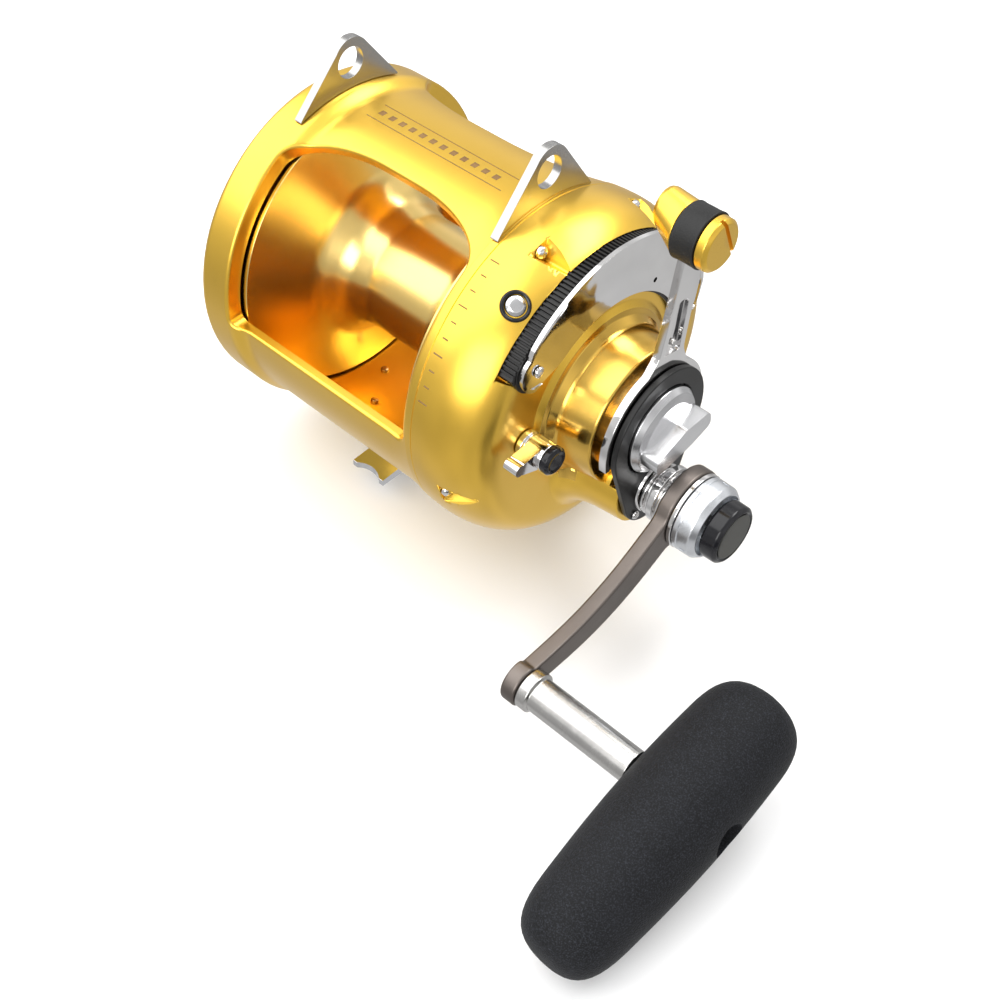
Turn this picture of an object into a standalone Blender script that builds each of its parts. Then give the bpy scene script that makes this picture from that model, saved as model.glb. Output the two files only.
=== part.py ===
"""Two-speed lever-drag trolling reel, modelled as separate working pieces.

The spool axis and the crank axis both run along X; the crank is on the +X side.
-Y is the angler's side and +Y the rod tip's side. The origin is the centre of the
foot's flat seat. Lengths below are millimetres, turned into metres by MM.
Profiles are lists of (x, radius) about an axis along X; outlines are lists of
(y, z). Angles are degrees in the YZ plane, 0 along +Y and 90 straight up.
"""
import math

import bmesh
import bpy
from mathutils import Matrix

MM = 0.001

# Driving dimensions
AXIS_HEIGHT = 69.0        # spool axis above the foot's seat
GEAR_CENTRES = 28.0       # crank axis below the spool axis
RING_R = 67.5             # left side plate and the frame beside it
RIM_R = 66.0              # frame and right side plate where they meet
SHELL_R = 64.8            # frame between its rings
CAVITY_R = 61.0           # room for the spool and the drag
SEAM_X = 48.0             # frame meets each side plate here
GAP = 0.3                 # between pieces that touch or that were cut to fit
PLATE_END_X = 62.0        # outer end of the left side plate
FACE_X = 79.0             # flat face of the right side plate
BOSS_X = 98.5             # end of the boss round the spool axis
HOUSING_X = 104.6         # end of the gear housing round the crank axis
CASE_X = 60.3             # where the inner gear case begins
CASE_END_X = 86.0         # outer wall of the gear case
SHAFT_R = 5.0
MODULE = 1.0
HIGH_TEETH = (41, 15)     # gear and pinion, high speed
LOW_TEETH = (33, 23)      # gear and pinion, low speed
LEVER_ANGLE = 81.0
LEVER_REACH = 76.0        # spool axis to the lever knob's axis
LEVER_X = (101.5, 104.6)
TOP_CORNER = (38.0, 19.0)  # the windows' long corners beside the top bar
LUG_X = 48.0
LUG_THICK = 3.4
SCREW_CIRCLE_R = 63.6
SCREW_ANGLES = (60.0, 105.0, 196.0, 262.0, 340.0)
SCREW_SEAT_X = 62.0
POCKET_TIP_R = 59.9       # a screw's pocket is a V that opens outwards from here
POCKET_SLOPE = 0.8
FOOT_SCREWS = ((-15.0, -13.0), (-15.0, 13.0), (15.0, -13.0), (15.0, 13.0))
STRIKE_ANGLE = 123.5
STRIKE_SPOT = (69.0, 64.0)    # x and radius where its axis leaves the dome
STRIKE_AXIS_TILT = 55.0   # button leans out from +X by this much
CLICK_PIVOT = (-39.5, 2.0)
PLATE_SCREW = (-37.6, 34.8)    # holds the rear end of the quadrant plate
DOG_PIVOT = (-18.6, -6.5)     # from the crank axis, and so is its tip
DOG_TIP = (-14.6, -0.9)
ARM_X = (119.0, 125.0)
CRANK_END = (-85.0, -23.0)    # grip axis from the crank axis
GRIP_X = 191.0            # centre of the grip
GRIP_ANGLE = 11.0         # the grip's long axis, from +Y
GRIP_LOW = -67.0          # its ends, from the spindle's axis
GRIP_HIGH = 46.0
GRIP_R = 20.0

LARGE, MEDIUM, SMALL, TINY = 36, 20, 14, 8      # steps round a circle
CUTTER_TURN = 4.3         # keeps a cutter's corners off the corners of what it cuts


# ---------------------------------------------------------------- helpers

def clear_scene():
    for obj in list(bpy.data.objects):
        bpy.data.objects.remove(obj, do_unlink=True)


def make_material(name, colour, roughness, metallic):
    material = bpy.data.materials.new(name)
    material.use_nodes = True
    shader = material.node_tree.nodes["Principled BSDF"]
    shader.inputs["Base Color"].default_value = (*colour, 1.0)
    shader.inputs["Roughness"].default_value = roughness
    shader.inputs["Metallic"].default_value = metallic
    material.diffuse_color = (*colour, 1.0)
    return material


def make_axis(name, y=0.0, z=0.0, parent=None):
    """An empty on a joint's axis; y and z are measured from its parent."""
    empty = bpy.data.objects.new(name, None)
    empty.location = (0.0, y * MM, z * MM)
    empty.parent = parent
    bpy.context.collection.objects.link(empty)
    return empty


def polar(radius, degrees, centre=(0.0, 0.0)):
    turn = math.radians(degrees)
    return (centre[0] + radius * math.cos(turn), centre[1] + radius * math.sin(turn))


def arc(radius, start, end, steps, centre=(0.0, 0.0)):
    return [polar(radius, start + (end - start) * k / steps, centre) for k in range(steps + 1)]


def finish_mesh(name, bm, material, parent):
    bmesh.ops.recalc_face_normals(bm, faces=bm.faces)
    mesh = bpy.data.meshes.new(name)
    bm.to_mesh(mesh)
    bm.free()
    obj = bpy.data.objects.new(name, mesh)
    obj.parent = parent
    bpy.context.collection.objects.link(obj)
    if material is not None:
        mesh.materials.append(material)
    mesh.shade_smooth()
    mesh.set_sharp_from_angle(angle=math.radians(35.0))
    return obj


def add_turned(bm, profile, centre=(0.0, 0.0), steps=MEDIUM, turn=0.0):
    """A closed body of revolution about X; a radius of 0 is a point on the axis."""
    rings = []
    for x, radius in profile:
        if radius == 0.0:
            rings.append([bm.verts.new((x * MM, centre[0] * MM, centre[1] * MM))])
            continue
        points = [polar(radius, turn + 360.0 * k / steps, centre) for k in range(steps)]
        rings.append([bm.verts.new((x * MM, y * MM, z * MM)) for y, z in points])
    for near, far in zip(rings, rings[1:] + rings[:1]):
        if len(near) == 1 and len(far) == 1:
            continue
        for k in range(steps):
            nxt = (k + 1) % steps
            if len(near) == 1:
                bm.faces.new((near[0], far[k], far[nxt]))
            elif len(far) == 1:
                bm.faces.new((near[k], far[0], near[nxt]))
            else:
                bm.faces.new((near[k], far[k], far[nxt], near[nxt]))


def add_prism(bm, outline, x0, x1):
    """An outline of (y, z) points extruded along X."""
    low = [bm.verts.new((x0 * MM, y * MM, z * MM)) for y, z in outline]
    high = [bm.verts.new((x1 * MM, y * MM, z * MM)) for y, z in outline]
    bm.faces.new(low)
    bm.faces.new(high[::-1])
    for k in range(len(outline)):
        nxt = (k + 1) % len(outline)
        bm.faces.new((low[k], high[k], high[nxt], low[nxt]))


def turned(name, profile, material, parent, centre=(0.0, 0.0), steps=MEDIUM):
    bm = bmesh.new()
    add_turned(bm, profile, centre, steps)
    return finish_mesh(name, bm, material, parent)


def prism(name, outline, x0, x1, material, parent):
    bm = bmesh.new()
    add_prism(bm, outline, x0, x1)
    return finish_mesh(name, bm, material, parent)


def ring(x0, x1, inner, outer):
    return [(x0, outer), (x1, outer), (x1, inner), (x0, inner)]


def rod(x0, x1, radius):
    return [(x0, 0.0), (x0, radius), (x1, radius), (x1, 0.0)]


def turned_cutter(name, profiles, parent, steps=SMALL):
    """One cutter made of separate turned bodies; each entry is (profile, centre)."""
    bm = bmesh.new()
    for profile, centre in profiles:
        add_turned(bm, profile, centre, steps, CUTTER_TURN)
    return as_cutter(finish_mesh(name, bm, None, parent))


def as_cutter(obj):
    obj.hide_render = True
    obj.display_type = "WIRE"
    return obj


def boolean(obj, other, operation):
    modifier = obj.modifiers.new(operation.title(), "BOOLEAN")
    modifier.operation = operation
    modifier.solver = "EXACT"
    modifier.object = other


def cut(obj, cutter):
    boolean(obj, cutter, "DIFFERENCE")


def join(obj, other):
    boolean(obj, as_cutter(other), "UNION")


def bored(obj, radius, x0, x1, centre=(0.0, 0.0), steps=SMALL):
    cutter = turned_cutter(obj.name + "_bore", [(rod(x0, x1, radius), centre)],
                           obj.parent, steps)
    cut(obj, cutter)
    return obj


def gear_outline(teeth, phase, thickness=(0.29, 0.80)):
    """Straight-flanked teeth; thickness is half a tooth at its tip and root, in modules."""
    tip_r = (teeth / 2.0 + 0.9) * MODULE
    root_r = (teeth / 2.0 - 1.2) * MODULE
    tip = math.degrees(thickness[0] * MODULE / tip_r)
    root = math.degrees(thickness[1] * MODULE / root_r)
    outline = []
    for k in range(teeth):
        middle = phase + 360.0 * k / teeth
        outline.append(polar(root_r, middle - root))
        outline.append(polar(tip_r, middle - tip))
        outline.append(polar(tip_r, middle + tip))
        outline.append(polar(root_r, middle + root))
    return outline


def ratchet_outline(teeth, tip_r, root_r):
    """Saw teeth whose steep sides stop the wheel from turning towards larger angles."""
    outline = []
    for k in range(teeth):
        outline.append(polar(root_r, 360.0 * k / teeth))
        outline.append(polar(tip_r, 360.0 * (k + 0.88) / teeth))
    return outline


def window_cutter(name, angles, half_width, low_corner, high_corner, parent):
    """A curved window in rows of four points; a corner is (along x, round the shell)."""
    low, high = angles
    to_degrees = 180.0 / (math.pi * SHELL_R)
    turns = [math.radians(15.0 * k) for k in range(7)]
    rows = [(low + low_corner[1] * (1.0 - math.cos(t)) * to_degrees,
             half_width - low_corner[0] * (1.0 - math.sin(t))) for t in turns]
    top_rows = [(high - high_corner[1] * (1.0 - math.cos(t)) * to_degrees,
                 half_width - high_corner[0] * (1.0 - math.sin(t))) for t in turns[::-1]]
    start, end = rows[-1][0], top_rows[0][0]
    rows += [(start + (end - start) * k / 8.0, half_width) for k in range(1, 8)]
    rows += top_rows
    bm = bmesh.new()
    loops = []
    for angle, half in rows:
        corners = []
        for x, radius in ((-half, 50.0), (half, 50.0), (half, 75.0), (-half, 75.0)):
            y, z = polar(radius, angle)
            corners.append(bm.verts.new((x * MM, y * MM, z * MM)))
        loops.append(corners)
    bm.faces.new(loops[0])
    bm.faces.new(loops[-1][::-1])
    for near, far in zip(loops, loops[1:]):
        for k in range(4):
            nxt = (k + 1) % 4
            bm.faces.new((near[k], far[k], far[nxt], near[nxt]))
    return as_cutter(finish_mesh(name, bm, None, parent))


def arc_band(inner, outer, start, end, steps):
    """A band of an annulus, from one angle to another, with square ends."""
    return arc(outer, start, end, steps) + arc(inner, end, start, steps)


def link_outline(near, near_r, far, far_r, half_near, half_far, bow, steps=8):
    """A crank-like link: two round ends and a tapering, slightly bowed bar."""
    length = math.hypot(far[0] - near[0], far[1] - near[1])
    angle = math.degrees(math.atan2(far[1] - near[1], far[0] - near[0]))

    def side(along, offset):
        x = near[0] + along * math.cos(math.radians(angle))
        z = near[1] + along * math.sin(math.radians(angle))
        return polar(offset, angle + 90.0, (x, z))

    def bar(sign):
        points = []
        begin = math.sqrt(near_r ** 2 - half_near ** 2)
        end = length - math.sqrt(max(far_r ** 2 - half_far ** 2, 0.01))
        for k in range(steps + 1):
            t = k / steps
            along = begin + (end - begin) * t
            half = half_near + (half_far - half_near) * t
            points.append(side(along, sign * half + bow * math.sin(math.pi * t)))
        return points

    near_turn = math.degrees(math.asin(half_near / near_r))
    far_turn = math.degrees(math.asin(min(half_far / far_r, 1.0)))
    outline = arc(near_r, angle + near_turn, angle + 360.0 - near_turn, 20, near)[1:-1]
    outline += bar(-1.0)
    outline += arc(far_r, angle - 180.0 + far_turn, angle + 180.0 - far_turn, 14, far)[1:-1]
    outline += bar(1.0)[::-1]
    return outline


# ---------------------------------------------------------------- frame and covers

def make_frame(look, axis):
    end_x = SEAM_X - GAP / 2.0
    profile = [(-end_x, RING_R), (-45.5, RING_R), (-43.5, 66.0), (-40.0, SHELL_R), (38.0, SHELL_R),
               (44.0, 65.3), (end_x, RIM_R), (end_x, CAVITY_R), (-end_x, CAVITY_R)]
    frame = turned("frame", profile, look, axis, (0, 0), LARGE)
    cut(frame, window_cutter("rear_window", (106.5, 183.0), 45.5, TOP_CORNER, (4.0, 4.0), axis))
    cut(frame, window_cutter("front_window", (-8.5, 68.0), 45.5, (4.0, 4.0), TOP_CORNER, axis))
    foot_holes = [(rod(-70.0, -58.0, 2.2), spot) for spot in FOOT_SCREWS]
    cut(frame, vertical_cutter("frame_foot_holes", foot_holes, axis))
    plate_holes = [(rod(42.0, 50.0, 1.7), polar(SCREW_CIRCLE_R, a)) for a in SCREW_ANGLES]
    cut(frame, turned_cutter("frame_plate_holes", plate_holes, axis, TINY))


def vertical_body(bm, profile, spot, steps=TINY):
    """Turn a profile about an upright axis at spot, given as (x, y)."""
    first = len(bm.verts)
    add_turned(bm, profile, (0.0, 0.0), steps)
    bm.verts.ensure_lookup_table()
    new = bm.verts[first:]
    stand = Matrix.Rotation(math.radians(-90.0), 4, "Y")
    place = Matrix.Translation((spot[0] * MM, spot[1] * MM, 0.0))
    bmesh.ops.transform(bm, matrix=place @ stand, verts=new)


def vertical_cutter(name, bodies, parent):
    bm = bmesh.new()
    for profile, spot in bodies:
        vertical_body(bm, profile, spot)
    return as_cutter(finish_mesh(name, bm, None, parent))


def make_left_plate(look, cap_look, axis):
    seam = -(SEAM_X + GAP / 2.0)
    end = -PLATE_END_X
    profile = [(seam, RING_R), (end + 2.5, RING_R), (end, RING_R - 2.5), (end, 58.0), (end + 1.2, 56.5),
               (end + 1.2, 24.0), (end, 22.0), (end, 5.3), (-47.0, 5.3), (-47.0, 13.0), (-57.5, 16.0),
               (-57.5, 57.0), (-54.0, CAVITY_R), (seam, CAVITY_R)]
    turned("left_side_plate", profile, look, axis, (0, 0), LARGE)
    cap = turned("left_end_cap", [(end - GAP, 0.0), (end - GAP, 13.0), (end - 2.0, 13.0),
                                  (end - 3.0, 12.0), (end - 3.0, 0.0)], cap_look, axis)
    bm = bmesh.new()
    add_prism(bm, [(-14.0, -1.0), (14.0, -1.0), (14.0, 1.0), (-14.0, 1.0)], end - 4.0, end - 2.0)
    cut(cap, as_cutter(finish_mesh("cap_slot", bm, None, axis)))


def make_right_plate(look, axis, crank, strike):
    seam = SEAM_X + GAP / 2.0
    face = FACE_X
    dome = [(seam, RIM_R), (60.0, RIM_R), (65.0, 65.2), (70.0, 63.6), (74.0, 61.2),
            (77.0, 57.6), (78.5, 54.4), (face, 51.0), (face, 34.0), (82.5, 33.2), (83.6, 29.2), (BOSS_X, 27.0)]
    bore = [(BOSS_X, 11.0), (CASE_X, 11.0), (CASE_X, CAVITY_R), (seam, CAVITY_R)]
    plate = turned("right_side_plate", dome + bore, look, axis, (0, 0), LARGE)
    boss = [(76.5, 0.0), (76.5, 26.0), (face, 22.5), (82.0, 19.8), (90.0, 18.4), (HOUSING_X, 17.3),
            (HOUSING_X, 0.0)]
    join(plate, turned("gear_housing_boss", boss, None, crank, (0, 0), MEDIUM))
    hollow = [(CASE_X - 1.0, 40.0), (CASE_X - 1.0, 58.0), (66.0, 58.0), (74.0, 48.0), (74.0, 40.0)]
    cut(plate, turned_cutter("dome_hollow", [(hollow, (0.0, 0.0))], axis, LARGE))
    gear_room = [(CASE_X - 1.0, 0.0), (CASE_X - 1.0, 23.3), (77.6, 23.3), (77.6, 6.2),
                 (93.2, 6.2), (93.2, 10.6), (110.0, 10.6), (110.0, 0.0)]
    cut(plate, turned_cutter("gear_room", [(gear_room, (0.0, 0.0))], crank, MEDIUM))
    core = [(CASE_X - 1.0, 0.0), (CASE_X - 1.0, 15.0), (CASE_END_X + 0.4, 15.0),
            (CASE_END_X + 0.4, 13.4), (92.3, 13.4), (92.3, 16.5), (100.0, 16.5), (100.0, 27.3),
            (110.0, 27.3), (110.0, 0.0)]
    cut(plate, turned_cutter("core_bore", [(core, (0.0, 0.0))], axis, MEDIUM))
    bm = bmesh.new()
    add_prism(bm, arc_band(55.6, 61.1, 37.0, 146.0, 12), 73.6, 90.0)
    cut(plate, as_cutter(finish_mesh("quadrant_seat", bm, None, axis)))
    holes = [(rod(40.0, SCREW_SEAT_X + 1.0, 1.7), polar(SCREW_CIRCLE_R, a)) for a in SCREW_ANGLES]
    cut(plate, turned_cutter("plate_screw_holes", holes, axis, TINY))
    cut(plate, screw_pockets(axis))
    click_hole = [(rod(50.0, 90.0, 2.4), CLICK_PIVOT)]
    cut(plate, turned_cutter("click_shaft_hole", click_hole, axis, TINY))
    cover_holes = [(rod(HOUSING_X - 3.0, HOUSING_X + 3.0, 1.1), spot) for spot in cover_screw_spots()]
    cut(plate, turned_cutter("cover_screw_holes", cover_holes, crank, TINY))
    cut(plate, strike_bore(5.6, strike))


def screw_pockets(axis):
    """V-shaped pockets over the plate screws, open at the rim and seen as triangles on the dome."""
    bm = bmesh.new()
    rim = RING_R + 3.0
    half = POCKET_SLOPE * (rim - POCKET_TIP_R)
    for angle in SCREW_ANGLES:
        outline = [polar(POCKET_TIP_R, angle)]
        outline += [polar(side * half, angle + 90.0, polar(rim, angle)) for side in (-1.0, 1.0)]
        add_prism(bm, outline, SCREW_SEAT_X, FACE_X + 1.0)
    return as_cutter(finish_mesh("screw_pockets", bm, None, axis))


def make_bridge(look, bearing_look, axis, crank):
    bridge = turned("bridge_plate", ring(57.2, CASE_X - GAP, 9.0, CAVITY_R - 0.4), look, axis,
                    (0, 0), LARGE)
    bored(bridge, 8.8, 50.0, 70.0, (0.0, -GEAR_CENTRES))
    click_hole = [(rod(50.0, 90.0, 2.4), CLICK_PIVOT)]
    cut(bridge, turned_cutter("bridge_click_hole", click_hole, axis, TINY))
    race = ring(57.3, CASE_X - 0.4, 5.3, 8.5)
    turned("gear_bearing_inner", race, bearing_look, crank, (0, 0), SMALL)


def make_foot(look, screw_look, axis):
    seat = -AXIS_HEIGHT
    saddle_r = SHELL_R + GAP + 0.2
    across = (-22.0, -14.0, -7.0, 0.0, 7.0, 14.0, 22.0)
    top = [(y, -math.sqrt(saddle_r ** 2 - y ** 2)) for y in across]
    saddle = [(-24.0, seat), (-24.0, -62.5)] + top + [(24.0, -62.5), (24.0, seat)]
    foot = prism("reel_foot", saddle, -21.0, 21.0, look, axis)
    half = [(18.0, seat + 1.0), (21.0, seat + 5.0), (30.0, seat + 3.6), (43.0, seat + 2.8), (43.0, seat)]
    tongues = [(-y, z) for y, z in half[::-1]] + half
    join(foot, prism("foot_tongues", tongues, -8.5, 8.5, None, axis))
    stepped = [(-90.0, 0.0), (-90.0, 4.0), (seat + 2.9, 4.0), (seat + 2.9, 2.2), (-55.0, 2.2),
               (-55.0, 0.0)]
    cut(foot, vertical_cutter("foot_holes", [(stepped, spot) for spot in FOOT_SCREWS], axis))
    for number, spot in enumerate(FOOT_SCREWS, 1):
        bm = bmesh.new()
        screw = [(seat + 0.5, 0.0), (seat + 0.5, 3.5), (seat + 2.6, 3.5), (seat + 2.6, 1.9),
                 (-61.5, 1.9), (-61.5, 0.0)]
        vertical_body(bm, screw, spot)
        finish_mesh("foot_screw_%d" % number, bm, screw_look, axis)


def lug_outline(base_r):
    """A rounded triangle standing on the rim, with its apex slightly forward."""
    apex = (2.0, 78.5)
    return arc(base_r, 68.5, 111.5, 8) + arc(8.6, 147.0, 33.0, 9, apex)


def make_lugs(look, axis):
    for side, x, base_r in (("left", -LUG_X, RING_R + GAP), ("right", LUG_X, RIM_R + GAP)):
        half = LUG_THICK / 2.0
        lug = prism(side + "_harness_lug", lug_outline(base_r), x - half, x + half, look, axis)
        bored(lug, 6.0, x - 5.0, x + 5.0, (1.2, 77.6), SMALL)


def make_plate_screws(look, axis):
    seat = SCREW_SEAT_X + GAP
    profile = [(45.0, 0.0), (45.0, 1.3), (seat, 1.3), (seat, 2.3), (seat + 1.8, 2.3), (seat + 2.3, 1.6),
               (seat + 2.3, 0.0)]
    for number, angle in enumerate(SCREW_ANGLES, 1):
        spot = polar(SCREW_CIRCLE_R, angle)
        turned("plate_screw_%d" % number, profile, look, axis, spot, TINY)


# ---------------------------------------------------------------- drag quadrant and lever

def make_quadrant(rack_look, plate_look, screw_look, axis):
    """A black rack with a flange, and the bright quadrant plate screwed down on it."""
    rear, front, notches = 144.0, 39.0, 34
    outline = arc(56.0, front, rear, 16)[::-1]
    for k in range(notches):
        a = front + (rear - front) * k / notches
        step = (rear - front) / notches
        outline.append(polar(60.8, a + 0.1 * step))
        outline.append(polar(60.2, a + 0.6 * step))
    outline.append(polar(60.8, rear))
    rack = prism("quadrant_rack", outline, 73.9, 80.2, rack_look, axis)
    flange = crescent_outline(60.0, 60.0, 39.6, 9.2)
    join(rack, prism("rack_flange", flange, FACE_X + GAP, 80.4, None, axis))
    plate = prism("quadrant_plate", crescent_outline(60.0, 62.4, 40.6, 8.0), 80.7, 82.4, plate_look, axis)
    bored(rack, 1.4, 78.0, 84.0, PLATE_SCREW, TINY)
    bored(plate, 1.4, 78.0, 84.0, PLATE_SCREW, TINY)
    turned("quadrant_screw", [(FACE_X + 0.6, 0.0), (FACE_X + 0.6, 1.1), (82.7, 1.1), (82.7, 2.2),
                              (83.5, 1.9), (83.5, 0.0)], screw_look, axis, PLATE_SCREW, TINY)


def crescent_outline(rear_r, front_r, inner_r, end_r):
    """A crescent whose outer edge runs a little outwards to the front; its rear end is round."""
    outline = [polar(front_r + (rear_r - front_r) * max(0.0, k - 8.0) / 12.0, 40.0 + 4.6 * k)
               for k in range(21)]
    outline += arc(end_r, 118.0, 262.0, 10, PLATE_SCREW)
    outline += [polar(inner_r, a) for a in range(132, 10, -6)]
    return outline + [polar(50.0, 12.0), polar(57.0, 24.0)]


def make_lever(chrome, gold, rubber, axis):
    """The lever points along LEVER_ANGLE; its hub clears the crank shaft over its throw."""
    a = LEVER_ANGLE
    hub_r, small_r, half = 26.5, 21.6, 5.6
    foot_turn = math.degrees(math.asin(half / hub_r))
    knob = polar(LEVER_REACH, a)
    outline = arc(hub_r, a + foot_turn, a + 112.0, 10)
    outline += arc(small_r, a + 113.0, a + 247.0, 12)
    outline += arc(hub_r, a + 248.0, a + 360.0 - foot_turn, 10)
    outline += arc(8.2, a - 140.0, a + 140.0, 14, knob)
    lever = prism("drag_lever", outline, LEVER_X[0], LEVER_X[1], chrome, axis)
    cam = turned("lever_cam_body", [(96.0, 0.0), (96.0, 15.6), (LEVER_X[0] + 1.0, 15.6),
                                    (LEVER_X[0] + 1.0, 0.0)], None, axis, (0, 0), MEDIUM)
    join(lever, cam)
    bored(lever, SHAFT_R + 0.4, 90.0, 110.0)
    bored(lever, 6.3, 100.0, 106.0, knob)
    turned("lever_knob", [(89.0, 0.0), (89.0, 6.6), (90.2, 7.8), (99.2, 9.4), (99.2, 6.0), (104.9, 6.0),
                          (104.9, 8.3), (109.2, 8.3), (109.2, 9.6), (112.4, 9.4), (113.4, 8.4),
                          (113.4, 0.0)], gold, axis, knob)
    band = turned("lever_knob_band", ring(99.5, 108.9, 8.6, 10.2), rubber, axis, knob)
    bm = bmesh.new()
    corners = ((-6.4, 4.0), (6.4, 4.0), (6.4, 14.0), (-6.4, 14.0))
    slot = [polar(across, a + 90.0, polar(LEVER_REACH - down, a)) for across, down in corners]
    add_prism(bm, slot, LEVER_X[0] - GAP, LEVER_X[1] + GAP)
    cut(band, as_cutter(finish_mesh("band_slot", bm, None, axis)))


def cover_screw_spots():
    return [polar(12.9, 222.0), polar(12.9, 318.0)]


def pear_outline(upper_r, lower_r):
    """One closed curve round the spool axis above and the crank axis below."""
    lean = math.degrees(math.acos((upper_r - lower_r) / GEAR_CENTRES))
    outline = arc(upper_r, -90.0 + lean, 270.0 - lean, 24)
    outline += arc(lower_r, 270.0 - lean, 270.0 + lean, 16, (0.0, -GEAR_CENTRES))
    return outline


def make_end_cover(look, screw_look, axis, crank):
    cover = prism("end_cover", pear_outline(24.2, 15.4), 105.0, 107.4, look, axis)
    bored(cover, 17.8, 100.0, 110.0, (0, 0), MEDIUM)
    bored(cover, 8.5, 100.0, 110.0, (0.0, -GEAR_CENTRES), SMALL)
    holes = [(rod(100.0, 110.0, 1.1), spot) for spot in cover_screw_spots()]
    cut(cover, turned_cutter("end_cover_holes", holes, crank, TINY))
    for number, spot in enumerate(cover_screw_spots(), 1):
        profile = [(103.0, 0.0), (103.0, 0.8), (107.7, 0.8), (107.7, 1.9), (108.6, 1.5), (108.6, 0.0)]
        turned("end_cover_screw_%d" % number, profile, screw_look, crank, spot, TINY)


def make_strike_axis(axis):
    """An empty whose X axis runs out of the strike button's bore."""
    y, z = polar(STRIKE_SPOT[1], STRIKE_ANGLE)
    empty = make_axis("strike_axis", y, z, axis)
    empty.location.x = STRIKE_SPOT[0] * MM
    out = (Matrix.Rotation(math.radians(STRIKE_ANGLE), 4, "X")
           @ Matrix.Rotation(math.radians(STRIKE_AXIS_TILT), 4, "Z"))
    empty.rotation_euler = out.to_euler()
    return empty


def strike_bore(radius, strike_axis):
    return turned_cutter("strike_bore", [(rod(-6.5, 15.0, radius), (0.0, 0.0))], strike_axis)


def make_strike_button(ring_look, button_look, frame):
    turned("strike_bezel", ring(-4.6, 1.6, 3.9, 5.2), ring_look, frame, (0, 0), SMALL)
    profile = [(-3.6, 0.0), (-3.6, 3.5), (1.8, 3.5), (2.6, 2.6), (2.6, 0.0)]
    turned("strike_button", profile, button_look, frame, (0, 0), SMALL)


# ---------------------------------------------------------------- spool and drag

def make_spool(look, axis):
    half = [(44.0, 60.0), (41.4, 60.0), (38.6, 48.0), (34.0, 34.0), (26.0, 26.5), (16.0, 24.5)]
    left = [(-x, radius) for x, radius in half]
    right_side = [(44.0, 22.0), (41.4, 18.0), (41.4, 11.3), (34.0, 11.3), (34.0, 7.5)]
    left_side = [(-34.0, 7.5), (-34.0, 11.3), (-41.4, 11.3), (-43.0, 22.0), (-43.0, 57.0)]
    turned("spool", left + half[::-1] + right_side + left_side, look, axis, (0, 0), LARGE)


def make_click_ratchet(look, axis):
    teeth = 24
    step = 360.0 / teeth
    outer = arc(58.0, 0.0, 360.0, LARGE)[:-1]
    ratchet = prism("click_ratchet", outer, 44.3, 54.4, look, axis)
    bm = bmesh.new()
    outline = []
    for k in range(teeth):
        outline.append(polar(55.6, 2.0 + step * k))
        outline.append(polar(54.0, 2.0 + step * (k + 0.5)))
    add_prism(bm, outline, 40.0, 60.0)
    cut(ratchet, as_cutter(finish_mesh("click_teeth", bm, None, axis)))


def make_drag(friction, steel, axis):
    turned("drag_washer", ring(44.3, 46.2, 23.0, 50.5), friction, axis, (0, 0), LARGE)
    turned("pressure_plate", [(46.9, 51.5), (49.9, 51.5), (50.7, 40.0), (50.7, 9.6), (48.0, 9.6),
                              (46.9, 20.0)], steel, axis, (0, 0), LARGE)


def make_pinions(look, axis):
    """The sleeve carries the high pinion's teeth; the low pinion is keyed on beside it."""
    sleeve = turned("pinion_sleeve", [(48.0, 9.2), (51.0, 9.2), (51.0, 8.2), (63.6, 8.2), (63.6, 7.0),
                                      (71.3, 7.0), (71.3, 6.1), (78.2, 6.1), (78.2, 7.0), (91.6, 7.0),
                                      (91.6, SHAFT_R + 0.4), (48.0, SHAFT_R + 0.4)],
                    look, axis, (0, 0), MEDIUM)
    outline = gear_outline(HIGH_TEETH[1], 270.0, (0.30, 0.78))
    teeth = prism("high_pinion_teeth", outline, 71.9, 77.6, None, axis)
    bored(teeth, SHAFT_R + 0.8, 70.0, 80.0, (0, 0), MEDIUM)
    join(sleeve, teeth)
    low = prism("low_pinion", gear_outline(LOW_TEETH[1], 270.0), 64.0, 70.8, look, axis)
    bored(low, 7.35, 62.0, 73.0, (0, 0), MEDIUM)


def make_shaft(steel, spring_look, bearing_look, axis):
    turned("spool_shaft", [(-60.0, 0.0), (-60.0, 4.6), (-59.5, SHAFT_R), (98.5, SHAFT_R), (99.0, 4.0),
                           (109.0, 4.0), (109.0, 0.0)], steel, axis, (0, 0), SMALL)
    turned("spool_bearing_left", ring(-41.2, -34.3, 5.3, 11.0), bearing_look, axis, (0, 0), MEDIUM)
    turned("spool_bearing_right", ring(34.3, 41.2, 5.3, 11.0), bearing_look, axis, (0, 0), MEDIUM)
    spring = [(41.6, 5.4), (41.6, 8.0), (43.0, 11.0), (44.4, 8.0), (45.6, 8.6), (46.2, 7.4), (46.2, 5.4)]
    turned("release_spring", spring, spring_look, axis, (0, 0), SMALL)
    race = ring(CASE_END_X + 0.8, 92.0, 7.3, 13.0)
    turned("pinion_bearing", race, bearing_look, axis, (0, 0), MEDIUM)
    turned("cam_follower", ring(93.4, 95.2, 5.3, 15.6), steel, axis, (0, 0), MEDIUM)


def make_preset_knob(look, axis):
    knob = turned("preset_knob", [(105.8, 0.0), (105.8, 17.2), (109.0, 17.2), (111.4, 15.0), (112.4, 11.0),
                                  (112.4, 0.0)], look, axis)
    wing = []
    for centre, start in ((11.0, -90.0), (-11.0, 90.0)):
        wing += [polar(2.9, 12.0 + start + 30.0 * k, polar(centre, 12.0)) for k in range(7)]
    join(knob, prism("preset_wing", wing, 111.0, 118.0, None, axis))
    bored(knob, 4.5, 100.0, 109.6)


# ---------------------------------------------------------------- gears and crank

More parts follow.
